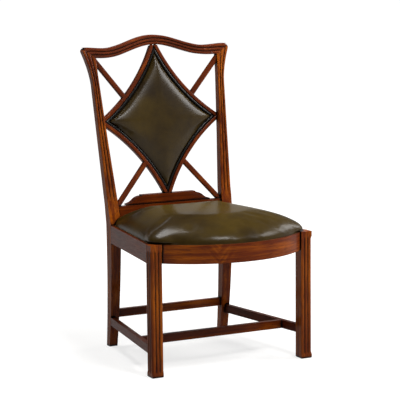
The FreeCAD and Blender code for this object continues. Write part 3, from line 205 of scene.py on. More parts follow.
def mahogany(name, turn, across=1.0, shade=0.0, polish=0.12, figure_at=None):
    """French-polished mahogany, planed and moulded, with dark wax and painted shade in its hollows.

    The polish is a clear hard film, so it gives sharp reflections over a soft brown depth. Grain runs along
    the piece's own X after the turn. A low value across keeps the bands whole on a face that is bowed or set
    askew in plan, shade is how much darker a piece is drawn, and figure_at is the middle of a feathered
    figure on a show face.
    """
    colours = settings().finish
    material, tree, output = new_material(name)
    place = add(tree, "ShaderNodeTexCoord").outputs["Object"]
    grain_place = add(tree, "ShaderNodeMapping", {"Vector": place}, {"Rotation": turn}).outputs["Vector"]

    # Growth bands are about 5 mm wide and a third of a metre long
    long_place = add(tree, "ShaderNodeMapping", {"Vector": grain_place}, {"Scale": (0.03, across, 1.0)})
    bands = add(tree, "ShaderNodeTexNoise", {"Vector": long_place.outputs["Vector"]},
                {"Scale": 1 / (10 * MM), "Detail": 4.0, "Roughness": 0.55, "Distortion": 0.1})
    # Pores are 0.4 mm wide in life and drawn 0.8 mm wide so that they show
    pore_place = add(tree, "ShaderNodeMapping", {"Vector": grain_place}, {"Scale": (0.05, across, 1.0)})
    pores = add(tree, "ShaderNodeTexNoise", {"Vector": pore_place.outputs["Vector"]},
                {"Scale": 1 / (1.6 * MM), "Detail": 2.0, "Roughness": 0.5})
    # Uneven stain, in patches of about 140 mm
    patches = add(tree, "ShaderNodeTexNoise", {"Vector": place},
                  {"Scale": 1 / (140 * MM), "Detail": 2.0, "Roughness": 0.5})
    tone = add(tree, "ShaderNodeMix", {2: bands.outputs["Fac"], 3: patches.outputs["Fac"]},
               {0: 0.4}).outputs[0]
    if figure_at is not None:
        tone = feather(tree, place, tone, figure_at)
    tone = add(tree, "ShaderNodeMath", {0: tone}, {1: shade}, operation="SUBTRACT").outputs["Value"]
    wood = ramp(tree, tone, [
        (0.18, linear(colours.wood_dark)),
        (0.48, linear(colours.wood_mid)),
        (0.72, linear(colours.wood_light)),
    ])
    pore_mask = ramp(tree, pores.outputs["Fac"], [(0.32, (0.35, 0.35, 0.35, 1)), (0.48, (1, 1, 1, 1))])
    wood = add(tree, "ShaderNodeMix", {"Factor": pore_mask, 7: wood}, {6: linear(colours.wood_dark)},
               data_type="RGBA").outputs[2]

    # Dark wax and painted shade where other wood stands within 9 mm, polish rubbed pale within 1.5 mm of
    # outer edges
    hollow_shade = add(tree, "ShaderNodeAmbientOcclusion", values={"Distance": 9 * MM}, samples=12)
    hollow_shade = ramp(tree, hollow_shade.outputs["AO"], [(0.72, (0, 0, 0, 1)), (0.99, (1, 1, 1, 1))])
    wood = add(tree, "ShaderNodeMix", {"Factor": hollow_shade, 7: wood}, {6: linear(colours.wax_and_shade)},
               data_type="RGBA").outputs[2]
    edge = add(tree, "ShaderNodeAmbientOcclusion", values={"Distance": 1.5 * MM}, samples=8, inside=True)
    rubbed = add(tree, "ShaderNodeTexNoise", {"Vector": place},
                 {"Scale": 1 / (22 * MM), "Detail": 4.0, "Roughness": 0.7})
    edge = ramp(tree, edge.outputs["AO"], [(0.35, (1, 1, 1, 1)), (0.62, (0, 0, 0, 1))])
    rubbed = ramp(tree, rubbed.outputs["Fac"], [(0.48, (0, 0, 0, 1)), (0.66, (0.4, 0.4, 0.4, 1))])
    wear = add(tree, "ShaderNodeMath", {0: edge, 1: rubbed}, operation="MULTIPLY").outputs["Value"]
    wood = add(tree, "ShaderNodeMix", {"Factor": wear, 6: wood}, {7: linear(colours.worn)},
               data_type="RGBA").outputs[2]

    # Small dark dents, 2 to 3 mm across and a few to a hand's breadth
    dents = add(tree, "ShaderNodeTexVoronoi", {"Vector": place}, {"Scale": 1 / (20 * MM)})
    dent = ramp(tree, dents.outputs["Distance"], [(0.045, (0.85, 0.85, 0.85, 1)), (0.075, (0, 0, 0, 1))])
    kept = ramp(tree, dents.outputs["Color"], [(0.42, (0, 0, 0, 1)), (0.46, (1, 1, 1, 1))])
    dent = add(tree, "ShaderNodeMath", {0: dent, 1: kept}, operation="MULTIPLY").outputs["Value"]
    wood = add(tree, "ShaderNodeMix", {"Factor": dent, 6: wood}, {7: linear(colours.wax_and_shade)},
               data_type="RGBA").outputs[2]

    rough = add(tree, "ShaderNodeMapRange", {"Value": pores.outputs["Fac"]},
                {"From Min": 0.3, "From Max": 0.7, "To Min": 0.52, "To Max": 0.38}).outputs["Result"]
    bump = add(tree, "ShaderNodeBump", {"Height": pores.outputs["Fac"]},
               {"Strength": 0.12, "Distance": 0.3 * MM}).outputs["Normal"]
    shader = add(tree, "ShaderNodeBsdfPrincipled", {"Base Color": wood, "Roughness": rough, "Normal": bump},
                 {"IOR": 1.5, "Specular IOR Level": 0.05, "Coat Weight": polish, "Coat Roughness": 0.13,
                  "Coat IOR": 1.4})
    tree.links.new(shader.outputs["BSDF"], output.inputs["Surface"])
    return material


def feather(tree, place, tone, middle):
    """Lightens the wood in a feathered V about a point of the front rail, its barbs about 9 mm apart."""
    split = add(tree, "ShaderNodeSeparateXYZ", {"Vector": place})
    across = add(tree, "ShaderNodeMath", {0: split.outputs["X"]}, {1: middle[0]}, operation="SUBTRACT")
    up = add(tree, "ShaderNodeMath", {0: split.outputs["Z"]}, {1: middle[2]}, operation="SUBTRACT")
    side = add(tree, "ShaderNodeMath", {0: across.outputs["Value"]}, operation="ABSOLUTE")
    slope = add(tree, "ShaderNodeMath", {0: side.outputs["Value"]}, {1: 1.1}, operation="MULTIPLY")
    rise = add(tree, "ShaderNodeMath", {0: up.outputs["Value"], 1: slope.outputs["Value"]},
               operation="SUBTRACT")
    wander = add(tree, "ShaderNodeMath", {0: across.outputs["Value"]}, {1: 0.25}, operation="MULTIPLY")
    barb_place = add(tree, "ShaderNodeCombineXYZ", {"X": rise.outputs["Value"], "Y": wander.outputs["Value"]})
    barbs = add(tree, "ShaderNodeTexNoise", {"Vector": barb_place.outputs["Vector"]},
                {"Scale": 1 / (14 * MM), "Detail": 1.0, "Roughness": 0.5})
    reach = add(tree, "ShaderNodeMapRange", {"Value": side.outputs["Value"]},
                {"From Min": 0.0, "From Max": 60 * MM, "To Min": 0.45, "To Max": 0.0},
                interpolation_type="SMOOTHSTEP")
    lifted = add(tree, "ShaderNodeMath", {0: barbs.outputs["Fac"]}, {1: 0.14}, operation="ADD")
    mixed = add(tree, "ShaderNodeMix", {0: reach.outputs["Result"], 2: tone, 3: lifted.outputs["Value"]})
    return mixed.outputs[0]


def ebonised(name):
    """Stained and polished black hardwood: near black, a soft gleam and a trace of pores."""
    material, tree, output = new_material(name)
    place = add(tree, "ShaderNodeTexCoord").outputs["Object"]
    pores = add(tree, "ShaderNodeTexNoise", {"Vector": place}, {"Scale": 1 / (1.5 * MM), "Detail": 3.0})
    colour = ramp(tree, pores.outputs["Fac"], [
        (0.3, linear("#060302")), (0.62, linear(settings().finish.ebony)), (0.8, linear("#2A1A10"))])
    rough = add(tree, "ShaderNodeMapRange", {"Value": pores.outputs["Fac"]},
                {"To Min": 0.22, "To Max": 0.4}).outputs["Result"]
    shader = add(tree, "ShaderNodeBsdfPrincipled", {"Base Color": colour, "Roughness": rough},
                 {"IOR": 1.5, "Specular IOR Level": 0.1, "Coat Weight": 0.2, "Coat Roughness": 0.14,
                  "Coat IOR": 1.4})
    tree.links.new(shader.outputs["BSDF"], output.inputs["Surface"])
    return material


def waxed_leather(name, crown, reach, rubbed_tone, polish):
    """Full-grain cowhide, drum dyed olive, rubbed and waxed: pebbled, with a broad soft sheen.

    Its tone goes from rubbed_tone at the crown to a dark edge at the reach, and polish is how much of the wax
    has been buffed to a film.
    """
    colours = settings().finish
    material, tree, output = new_material(name)
    place = add(tree, "ShaderNodeTexCoord").outputs["Object"]
    # Pebbles are 1.2 mm across in life and drawn 2 mm across so that they show
    pebbles = add(tree, "ShaderNodeTexVoronoi", {"Vector": place}, {"Scale": 1 / (2.0 * MM)},
                  feature="DISTANCE_TO_EDGE")
    creases = add(tree, "ShaderNodeTexNoise", {"Vector": place},
                  {"Scale": 1 / (16 * MM), "Detail": 5.0, "Roughness": 0.6, "Distortion": 1.2})
    clouds = add(tree, "ShaderNodeTexNoise", {"Vector": place},
                 {"Scale": 1 / (110 * MM), "Detail": 4.0, "Roughness": 0.55})
    away = add(tree, "ShaderNodeVectorMath", {0: place}, {1: crown}, operation="DISTANCE")
    rubbed = add(tree, "ShaderNodeMapRange", {"Value": away.outputs["Value"]},
                 {"From Min": 0.0, "From Max": reach, "To Min": rubbed_tone, "To Max": 0.16},
                 interpolation_type="SMOOTHSTEP")
    tone = add(tree, "ShaderNodeMath", {0: clouds.outputs["Fac"]}, {1: -0.5}, operation="ADD")
    tone = add(tree, "ShaderNodeMath", {0: tone.outputs["Value"]}, {1: 0.75}, operation="MULTIPLY")
    tone = add(tree, "ShaderNodeMath", {0: tone.outputs["Value"], 1: rubbed.outputs["Result"]},
               operation="ADD")
    hide = ramp(tree, tone.outputs["Value"], [
        (0.05, linear(colours.leather_dark)), (0.75, linear(colours.leather_light))])
    valleys = ramp(tree, pebbles.outputs["Distance"], [(0.0, (0.7, 0.7, 0.7, 1)), (0.12, (1, 1, 1, 1))])
    hide = add(tree, "ShaderNodeMix", {6: hide, 7: valleys}, {0: 0.5}, data_type="RGBA",
               blend_type="MULTIPLY").outputs[2]
    height = add(tree, "ShaderNodeMath", {0: pebbles.outputs["Distance"]}, {1: 0.5}, operation="MULTIPLY")
    height = add(tree, "ShaderNodeMath", {0: height.outputs["Value"], 1: creases.outputs["Fac"]},
                 operation="ADD")
    bump = add(tree, "ShaderNodeBump", {"Height": height.outputs["Value"]},
               {"Strength": 0.16, "Distance": 0.8 * MM}).outputs["Normal"]
    rough = add(tree, "ShaderNodeMapRange", {"Value": clouds.outputs["Fac"]},
                {"From Min": 0.3, "From Max": 0.7, "To Min": 0.46, "To Max": 0.56}).outputs["Result"]
    shader = add(tree, "ShaderNodeBsdfPrincipled", {"Base Color": hide, "Roughness": rough, "Normal": bump},
                 {"IOR": 1.45, "Specular IOR Level": 0.05, "Coat Weight": polish, "Coat Roughness": 0.25,
                  "Coat IOR": 1.4})
    tree.links.new(shader.outputs["BSDF"], output.inputs["Surface"])
    return material


def bare_beech(name):
    """Beech, sawn and left bare: pale, flecked and dull."""
    material, tree, output = new_material(name)
    place = add(tree, "ShaderNodeTexCoord").outputs["Object"]
    long_place = add(tree, "ShaderNodeMapping", {"Vector": place}, {"Scale": (0.12, 1.0, 1.0)})
    flecks = add(tree, "ShaderNodeTexNoise", {"Vector": long_place.outputs["Vector"]},
                 {"Scale": 1 / (3 * MM), "Detail": 3.0})
    colour = ramp(tree, flecks.outputs["Fac"], [
        (0.3, linear("#8C6238")), (0.6, linear(settings().finish.beech))])
    bump = add(tree, "ShaderNodeBump", {"Height": flecks.outputs["Fac"]},
               {"Strength": 0.3, "Distance": 0.3 * MM}).outputs["Normal"]
    shader = add(tree, "ShaderNodeBsdfPrincipled", {"Base Color": colour, "Normal": bump},
                 {"Roughness": 0.7, "IOR": 1.5})
    tree.links.new(shader.outputs["BSDF"], output.inputs["Surface"])
    return material


def woven(name, colour, thread, rough):
    """Plain-woven cloth of a thread spacing: two crossed rows of threads, dull and slightly furry."""
    material, tree, output = new_material(name)
    place = add(tree, "ShaderNodeTexCoord").outputs["Object"]
    turns = 2 * math.pi / thread
    split = add(tree, "ShaderNodeSeparateXYZ", {"Vector": place})
    rows = []
    for axis in ("X", "Y"):
        phase = add(tree, "ShaderNodeMath", {0: split.outputs[axis]}, {1: turns}, operation="MULTIPLY")
        wave = add(tree, "ShaderNodeMath", {0: phase.outputs["Value"]}, operation="SINE")
        rows.append(wave.outputs["Value"])
    weave = add(tree, "ShaderNodeMath", {0: rows[0], 1: rows[1]}, operation="MULTIPLY").outputs["Value"]
    shade = add(tree, "ShaderNodeMapRange", {"Value": weave},
                {"From Min": -1.0, "To Min": 0.25, "To Max": 1.0})
    dark = [0.45 * c for c in linear(colour)[:3]] + [1.0]
    cloth = ramp(tree, shade.outputs["Result"], [(0.0, dark), (1.0, linear(colour))])
    bump = add(tree, "ShaderNodeBump", {"Height": weave}, {"Strength": 0.5, "Distance": 0.3 * MM})
    shader = add(tree, "ShaderNodeBsdfPrincipled", {"Base Color": cloth, "Normal": bump.outputs["Normal"]},
                 {"Roughness": rough, "Sheen Weight": 0.2})
    tree.links.new(shader.outputs["BSDF"], output.inputs["Surface"])
    return material


def aged_metal(name, colour, rough):
    """Plain metal, stamped or turned, dulled by handling in patches of a few millimetres."""
    material, tree, output = new_material(name)
    place = add(tree, "ShaderNodeTexCoord").outputs["Object"]
    tarnish = add(tree, "ShaderNodeTexNoise", {"Vector": place}, {"Scale": 1 / (3 * MM), "Detail": 3.0})
    dark = [0.35 * c for c in linear(colour)[:3]] + [1.0]
    tint = ramp(tree, tarnish.outputs["Fac"], [(0.3, dark), (0.6, linear(colour))])
    dull = add(tree, "ShaderNodeMapRange", {"Value": tarnish.outputs["Fac"]},
               {"To Min": rough + 0.2, "To Max": rough}).outputs["Result"]
    shader = add(tree, "ShaderNodeBsdfPrincipled", {"Base Color": tint, "Roughness": dull}, {"Metallic": 1.0})
    tree.links.new(shader.outputs["BSDF"], output.inputs["Surface"])
    return material


def finish(piece, material):
    piece.data.materials.clear()
    piece.data.materials.append(material)


def start_piece(name, mesh):
    """A new object of a mesh, alone selected and active."""
    bpy.ops.object.select_all(action="DESELECT")
    piece = bpy.data.objects.new(name, mesh)
    bpy.context.scene.collection.objects.link(piece)
    bpy.context.view_layer.objects.active = piece
    piece.select_set(True)
    return piece


def copied(name, node):
    """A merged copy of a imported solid's mesh, in edit mode with nothing selected."""
    piece = start_piece(name, nodes[node].data.copy())
    bpy.ops.object.mode_set(mode="EDIT")
    bpy.ops.mesh.select_mode(type="FACE")
    bpy.ops.mesh.select_all(action="SELECT")
    bpy.ops.mesh.remove_doubles(threshold=MERGE_WITHIN)
    bpy.ops.mesh.select_all(action="DESELECT")
    return piece


def pick_faces(piece, test):
    """Selects the faces that pass a test, and leaves edit mode on."""
    bpy.ops.object.mode_set(mode="OBJECT")
    for face in piece.data.polygons:
        face.select = test(face)
    bpy.ops.object.mode_set(mode="EDIT")


def gridded(piece, box, axes, spacing):
    """Cuts a flat sheet across two axes so that it can be shaped, and leaves edit mode."""
    low, high = box
    for axis in axes:
        across = [0.0, 0.0, 0.0]
        across[axis] = 1.0
        count = round((high[axis] - low[axis]) / spacing)
        for number in range(1, count):
            place = [0.0, 0.0, 0.0]
            place[axis] = low[axis] + (high[axis] - low[axis]) * number / count
            bpy.ops.mesh.select_all(action="SELECT")
            bpy.ops.mesh.bisect(plane_co=place, plane_no=across)
    bpy.ops.object.mode_set(mode="OBJECT")


def apply_modifiers(piece):
    for modifier in list(piece.modifiers):
        bpy.ops.object.modifier_apply(modifier=modifier.name)


def smoothed(piece, rounds):
    smooth = piece.modifiers.new("smooth", "SMOOTH")
    smooth.factor = 0.5
    smooth.iterations = rounds
    apply_modifiers(piece)


def walled(piece, thickness):
    """Gives a sheet its thickness, inwards from the face that shows."""
    wall = piece.modifiers.new("thickness", "SOLIDIFY")
    wall.thickness = thickness
    wall.offset = -1
    apply_modifiers(piece)
    bpy.ops.object.shade_smooth_by_angle(angle=CRISP_ANGLE)


def remeshed(piece, voxel, rounds):
    """Even quads over a closed form, smoothed so that no steps are left."""
    bpy.ops.object.mode_set(mode="OBJECT")
    piece.data.remesh_voxel_size = voxel
    piece.data.remesh_voxel_adaptivity = 0.0
    bpy.ops.object.voxel_remesh()
    smoothed(piece, rounds)


def blown_up(piece, pressure, swell, held, frames, settle):
    """Leather pushed out by its stuffing and then drawn tight.

    It moves no further than the swell, and stays where it is at the places that held names.
    """
    rest = [vertex.co.copy() for vertex in piece.data.vertices]
    group = piece.vertex_groups.new(name="held")
    group.add([i for i, place in enumerate(rest) if held(place)], 1.0, "REPLACE")
    cloth = piece.modifiers.new("stuffing", "CLOTH")
    cloth.settings.quality = 6
    cloth.settings.mass = 0.6
    cloth.settings.tension_stiffness = 40
    cloth.settings.compression_stiffness = 40
    cloth.settings.bending_stiffness = 8
    cloth.settings.use_pressure = True
    cloth.settings.uniform_pressure_force = pressure
    cloth.settings.vertex_group_mass = "held"
    cloth.settings.effector_weights.gravity = 0
    cloth.collision_settings.use_collision = False
    cloth.point_cache.frame_end = frames
    scene = bpy.context.scene
    for number in range(1, frames + 1):
        scene.frame_set(number)
    bpy.ops.object.modifier_apply(modifier="stuffing")
    scene.frame_set(1)
    for vertex, place in zip(piece.data.vertices, rest):
        step = vertex.co - place
        if step.length > swell:
            vertex.co = place + step * (swell / step.length)
    piece.vertex_groups.clear()
    smoothed(piece, settle)


def smooth_step(value, start, end):
    """0 before start and 1 after end, with a smooth rise between."""
    share = min(max((value - start) / (end - start), 0.0), 1.0)
    return share * share * (3 - 2 * share)


def finer(piece):
    """One subdivision and smooth shading."""
    level = piece.modifiers.new("finer", "SUBSURF")
    level.levels = 1
    level.render_levels = 1
    apply_modifiers(piece)
    bpy.ops.object.shade_smooth()


def finished(piece):
    """What an operator returns once its piece is made, or an error where no piece came of it."""
    if not piece.data.polygons:
        raise RuntimeError(piece.name + " has no faces")
    return {"FINISHED"}


class CHAIR_OT_seat_cushion(bpy.types.Operator):
    """Stuffed leather seat, pulled down to the rails and pleated at its front corners"""

    bl_idname = "chair.seat_cushion"
    bl_label = "Seat cushion"

    def execute(self, context):
        leather = settings().leather
        low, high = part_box("seat_leather")
        rail_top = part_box("front_leg_right")[1].z
        piece = copied("seat_cushion", "seat_foam")
        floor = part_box("seat_foam")[0].z
        pick_faces(piece, lambda face: face.normal.z < -0.9 and face.center.z < floor + MM)
        bpy.ops.mesh.extrude_region_move(TRANSFORM_OT_translate={"value": (0, 0, low.z - floor)})
        remeshed(piece, leather.seat_voxel, 6)
        blown_up(piece, leather.seat_pressure, leather.seat_swell,
                 lambda place: place.z < rail_top + 2 * MM, leather.frames, leather.seat_tight)
        finer(piece)
        self.fill_corners(piece, leather, rail_top)
        self.pleat(piece, leather, rail_top)
        self.turn_under(piece, rail_top)
        finish(piece, waxed_leather("waxed_leather_seat", crown=(0.05, 0.0, high.z), reach=0.34,
                                    rubbed_tone=0.5, polish=0.28))
        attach(piece, "seat")
        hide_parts("seat_leather", "seat_foam")
        return finished(piece)

    def fill_corners(self, piece, leather, rail_top):
        """Swells the front corners out over the tops of the legs, clear of the wood."""
        leg_low, leg_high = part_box("front_leg_right")
        # The swell is centred over the leg's top, near its inner rear corner
        corner = Vector((leg_low.x + 11 * MM, leg_high.y - 10 * MM))
        spread = 80 * MM
        for vertex in piece.data.vertices:
            place = vertex.co
            rise = place.z - rail_top
            away = (Vector((abs(place.x), place.y)) - corner).length
            near = 1 - smooth_step(away, 0.0, spread)
            full = smooth_step(rise, 1 * MM, 7 * MM) * (1 - smooth_step(rise, 12 * MM, 45 * MM))
            place.x += math.copysign(leather.corner_lap[0] * near * full, place.x)
            place.y -= leather.corner_lap[1] * near * full

    def pleat(self, piece, leather, rail_top):
        """Presses folds into the leather at the front corners, deepest at the rail."""
        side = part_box("seat_leather")[1].x
        leg_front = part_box("front_leg_right")[0].y
        # The folds fan out from a point over the middle of the leg
        corner = Vector((side - 4 * MM, leg_front + 22 * MM, 0))
        spread = 30 * MM
        for vertex in piece.data.vertices:
            place = vertex.co
            rise = (place.z - rail_top) / leather.pleat_height
            if not -0.5 < rise < 1:
                continue
            centre = Vector((math.copysign(corner.x, place.x), corner.y, 0))
            across = Vector((place.x, place.y, 0)) - centre
            if across.length > spread:
                continue
            angle = math.atan2(across.y, abs(place.x) - corner.x)
            near = (1 - across.length / spread) * (1 - max(rise, 0)) ** 1.5
            wave = 0.5 * (1 + math.cos(angle * leather.pleats * 2)) ** 2
            inward = Vector((-math.copysign(1, place.x), 1, 0)).normalized()
            vertex.co = place + inward * (leather.pleat_depth * near * wave * 0.5)

    def turn_under(self, piece, rail_top):
        """Cuts the cushion off under the rails' tops and joins on the leather that wraps the seat's frame."""
        up = (0, 0, 1)
        cushion_end = (0, 0, rail_top - 5 * MM)
        wrap_top = (0, 0, rail_top + 0.3 * MM)
        bpy.ops.object.mode_set(mode="EDIT")
        bpy.ops.mesh.select_all(action="SELECT")
        bpy.ops.mesh.bisect(plane_co=cushion_end, plane_no=up, use_fill=True, clear_inner=True)
        bpy.ops.object.mode_set(mode="OBJECT")
        copied("seat_skirt", "seat_leather")
        bpy.ops.mesh.select_all(action="SELECT")
        bpy.ops.mesh.bisect(plane_co=wrap_top, plane_no=up, use_fill=True, clear_outer=True)
        bpy.ops.object.mode_set(mode="OBJECT")
        bpy.ops.object.shade_smooth_by_angle(angle=CRISP_ANGLE)
        piece.select_set(True)
        bpy.context.view_layer.objects.active = piece
        bpy.ops.object.join()


class CHAIR_OT_back_cushion(bpy.types.Operator):
    """Stuffed leather diamond in the back, held down along the black beads"""

    bl_idname = "chair.back_cushion"
    bl_label = "Back cushion"

    def execute(self, context):
        leather = settings().leather
        low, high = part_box("back_leather_front")
        middle = (low + high) / 2
        piece = copied("back_cushion", "back_foam")
        foam_low, foam_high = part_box("back_foam")
        wider = (high.x - low.x + MM) / (foam_high.x - foam_low.x)
        taller = (high.z - low.z + MM) / (foam_high.z - foam_low.z)
        bpy.ops.mesh.select_all(action="SELECT")
        bpy.ops.transform.resize(value=(wider, taller, taller), center_override=middle)
        remeshed(piece, leather.back_voxel, 11)
        slope = (high.y - low.y) / (high.z - low.z)
        blown_up(piece, leather.back_pressure, leather.back_swell,
                 lambda place: place.y > middle.y + slope * (place.z - middle.z) + 4 * MM,
                 leather.frames, leather.back_tight)
        finer(piece)
        finish(piece, waxed_leather("waxed_leather_back", crown=(0.0, middle.y, middle.z), reach=0.22,
                                    rubbed_tone=0.14, polish=0.5))
        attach(piece, "frame")
        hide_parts("back_leather_front", "back_foam")
        return finished(piece)


class CHAIR_OT_show_wood(bpy.types.Operator):
    """Polished mahogany on the frame, its grain along each piece"""

    bl_idname = "chair.show_wood"
    bl_label = "Show wood"

    def execute(self, context):
        along_x = (0.0, 0.0, 0.0)
        along_y = (0.0, 0.0, QUARTER_TURN)
        along_z = (0.0, QUARTER_TURN, 0.0)
        lean = 0.9
        upright = mahogany("mahogany_upright", along_z, shade=-0.06)
        across = mahogany("mahogany_across", along_x, shade=0.04)
        dark = mahogany("mahogany_dark", along_x, shade=0.12)
        # Painted shade: the side rails and side stretchers are drawn darker for the shade on their sideways
        # faces
        shaded_fore_aft = mahogany("mahogany_fore_and_aft_painted_shade", along_y, across=0.12, shade=0.14, polish=0.03)
        rising = {
            "right": mahogany("mahogany_falling_to_right", (0.0, -lean, 0.0), shade=0.08),
            "left": mahogany("mahogany_falling_to_left", (0.0, lean, 0.0), shade=0.08),
        }
        rail_low, rail_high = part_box("front_seat_rail")
        figure = (rail_low + rail_high) / 2 - Vector((90 * MM, 0, 0))
        figured = mahogany("mahogany_feathered", along_x, across=0.06, figure_at=figure)
        for name in ("rear_seat_rail", "cross_stretcher", "rear_stretcher"):
            finish(nodes[name], across)
        for name in ("crest_rail", "splat_shoe"):
            finish(nodes[name], dark)
        finish(nodes["front_seat_rail"], figured)
        for side, other in zip(SIDES, reversed(SIDES)):
            finish(nodes["front_leg_" + side], upright)
            finish(nodes["back_post_" + side], upright)
            finish(nodes["side_seat_rail_" + side], shaded_fore_aft)
            finish(nodes["side_stretcher_" + side], shaded_fore_aft)
            finish(nodes["diamond_rail_upper_" + side], rising[side])
            finish(nodes["diamond_rail_lower_" + side], rising[other])
            finish(nodes["brace_upper_" + side], rising[other])
            finish(nodes["brace_lower_" + side], rising[side])
        return {"FINISHED"}


class CHAIR_OT_black_beads(bpy.types.Operator):
    """Ebonised beads between the diamond's rails and its leather"""

    bl_idname = "chair.black_beads"
    bl_label = "Black beads"

    def execute(self, context):
        black = ebonised("ebonised_hardwood")
        for side in SIDES:
            finish(nodes["diamond_bead_upper_" + side], black)
            finish(nodes["diamond_bead_lower_" + side], black)
        return {"FINISHED"}


class CHAIR_OT_outside_leather(bpy.types.Operator):
    """Leather over the back of the panel, drawn tight and tacked round its edge"""

    bl_idname = "chair.outside_leather"
    bl_label = "Outside leather"

    def execute(self, context):
        leather = settings().leather
        low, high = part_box("back_leather_outside")
        piece = copied("outside_leather", "back_leather_outside")
        pick_faces(piece, lambda face: face.normal.y < 0.5)
        bpy.ops.mesh.delete(type="FACE")
        # The tacks' holes are closed, as their heads cover them
        bpy.ops.mesh.select_all(action="SELECT")
        bpy.ops.mesh.fill_holes(sides=60)
        bpy.ops.mesh.select_all(action="SELECT")
        bpy.ops.mesh.dissolve_limited(angle_limit=FLAT_ANGLE)
        gridded(piece, (low, high), (0, 2), 16 * MM)
        middle = (low + high) / 2
        half = (high - low) / 2
        for vertex in piece.data.vertices:
            u = abs(vertex.co.x - middle.x) / half.x
            v = abs(vertex.co.z - middle.z) / half.z
            vertex.co.y += leather.outside_crown * max(0.0, 1 - u) ** 2 * max(0.0, 1 - v) ** 2
        walled(piece, LEATHER_THICK)
        finish(piece, waxed_leather("waxed_leather_outside", crown=tuple(middle), reach=0.26,
                                    rubbed_tone=0.55, polish=0.3))
        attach(piece, "frame")
        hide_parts("back_leather_outside")
        # A diamond with sides so hollow covers two fifths of its box
        return finished(piece)


class CHAIR_OT_lining(bpy.types.Operator):
    """Black cloth that closes the seat from below"""

    bl_idname = "chair.lining"
    bl_label = "Lining"

    def execute(self, context):
        leather = settings().leather
        low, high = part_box("seat_dust_cover")
        piece = copied("seat_lining", "seat_dust_cover")
        pick_faces(piece, lambda face: face.normal.z > -0.5)
        bpy.ops.mesh.delete(type="FACE")
        bpy.ops.mesh.select_all(action="SELECT")
        bpy.ops.mesh.dissolve_limited(angle_limit=FLAT_ANGLE)
        gridded(piece, (low, high), (0, 1), 25 * MM)
        middle = (low + high) / 2
        half = (high - low) / 2
        for vertex in piece.data.vertices:
            u = (vertex.co.x - middle.x) / half.x
            v = (vertex.co.y - middle.y) / half.y
            vertex.co.z -= leather.lining_sag * max(0.0, 1 - u * u) * max(0.0, 1 - v * v)
        walled(piece, LINING_THICK)
        finish(piece, woven("lining_cloth", settings().finish.lining, 2.4 * MM, 0.85))
        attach(piece, "seat")
        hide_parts("seat_dust_cover")
        # The tapered, bow-fronted cut covers 0.85 of its box
        return finished(piece)


class CHAIR_OT_fittings(bpy.types.Operator):
    """Blocks, seat frame, webbing, tacks and screws"""

    bl_idname = "chair.fittings"
    bl_label = "Fittings"

    def execute(self, context):
        colours = settings().finish
        beech = bare_beech("bare_beech")
        for name in ("seat_frame_front", "seat_frame_rear"):
            finish(nodes[name], beech)
        finish(nodes["back_panel_board"], ebonised("stained_beech"))
        for side in SIDES:
            for name in ("seat_frame_", "corner_block_front_", "corner_block_rear_"):
                finish(nodes[name + side], beech)
        jute = woven("jute_webbing", colours.jute, 3.0 * MM, 0.9)
        finish(nodes["seat_webbing_lengthwise"], jute)
        finish(nodes["seat_webbing_crosswise"], jute)
        brass = aged_metal("aged_brass", colours.brass, 0.32)
        finish(nodes["seat_tacks"], brass)
        finish(nodes["back_panel_tacks"], brass)
        finish(nodes["corner_block_screws"], aged_metal("plain_steel", colours.steel, 0.35))
        return {"FINISHED"}


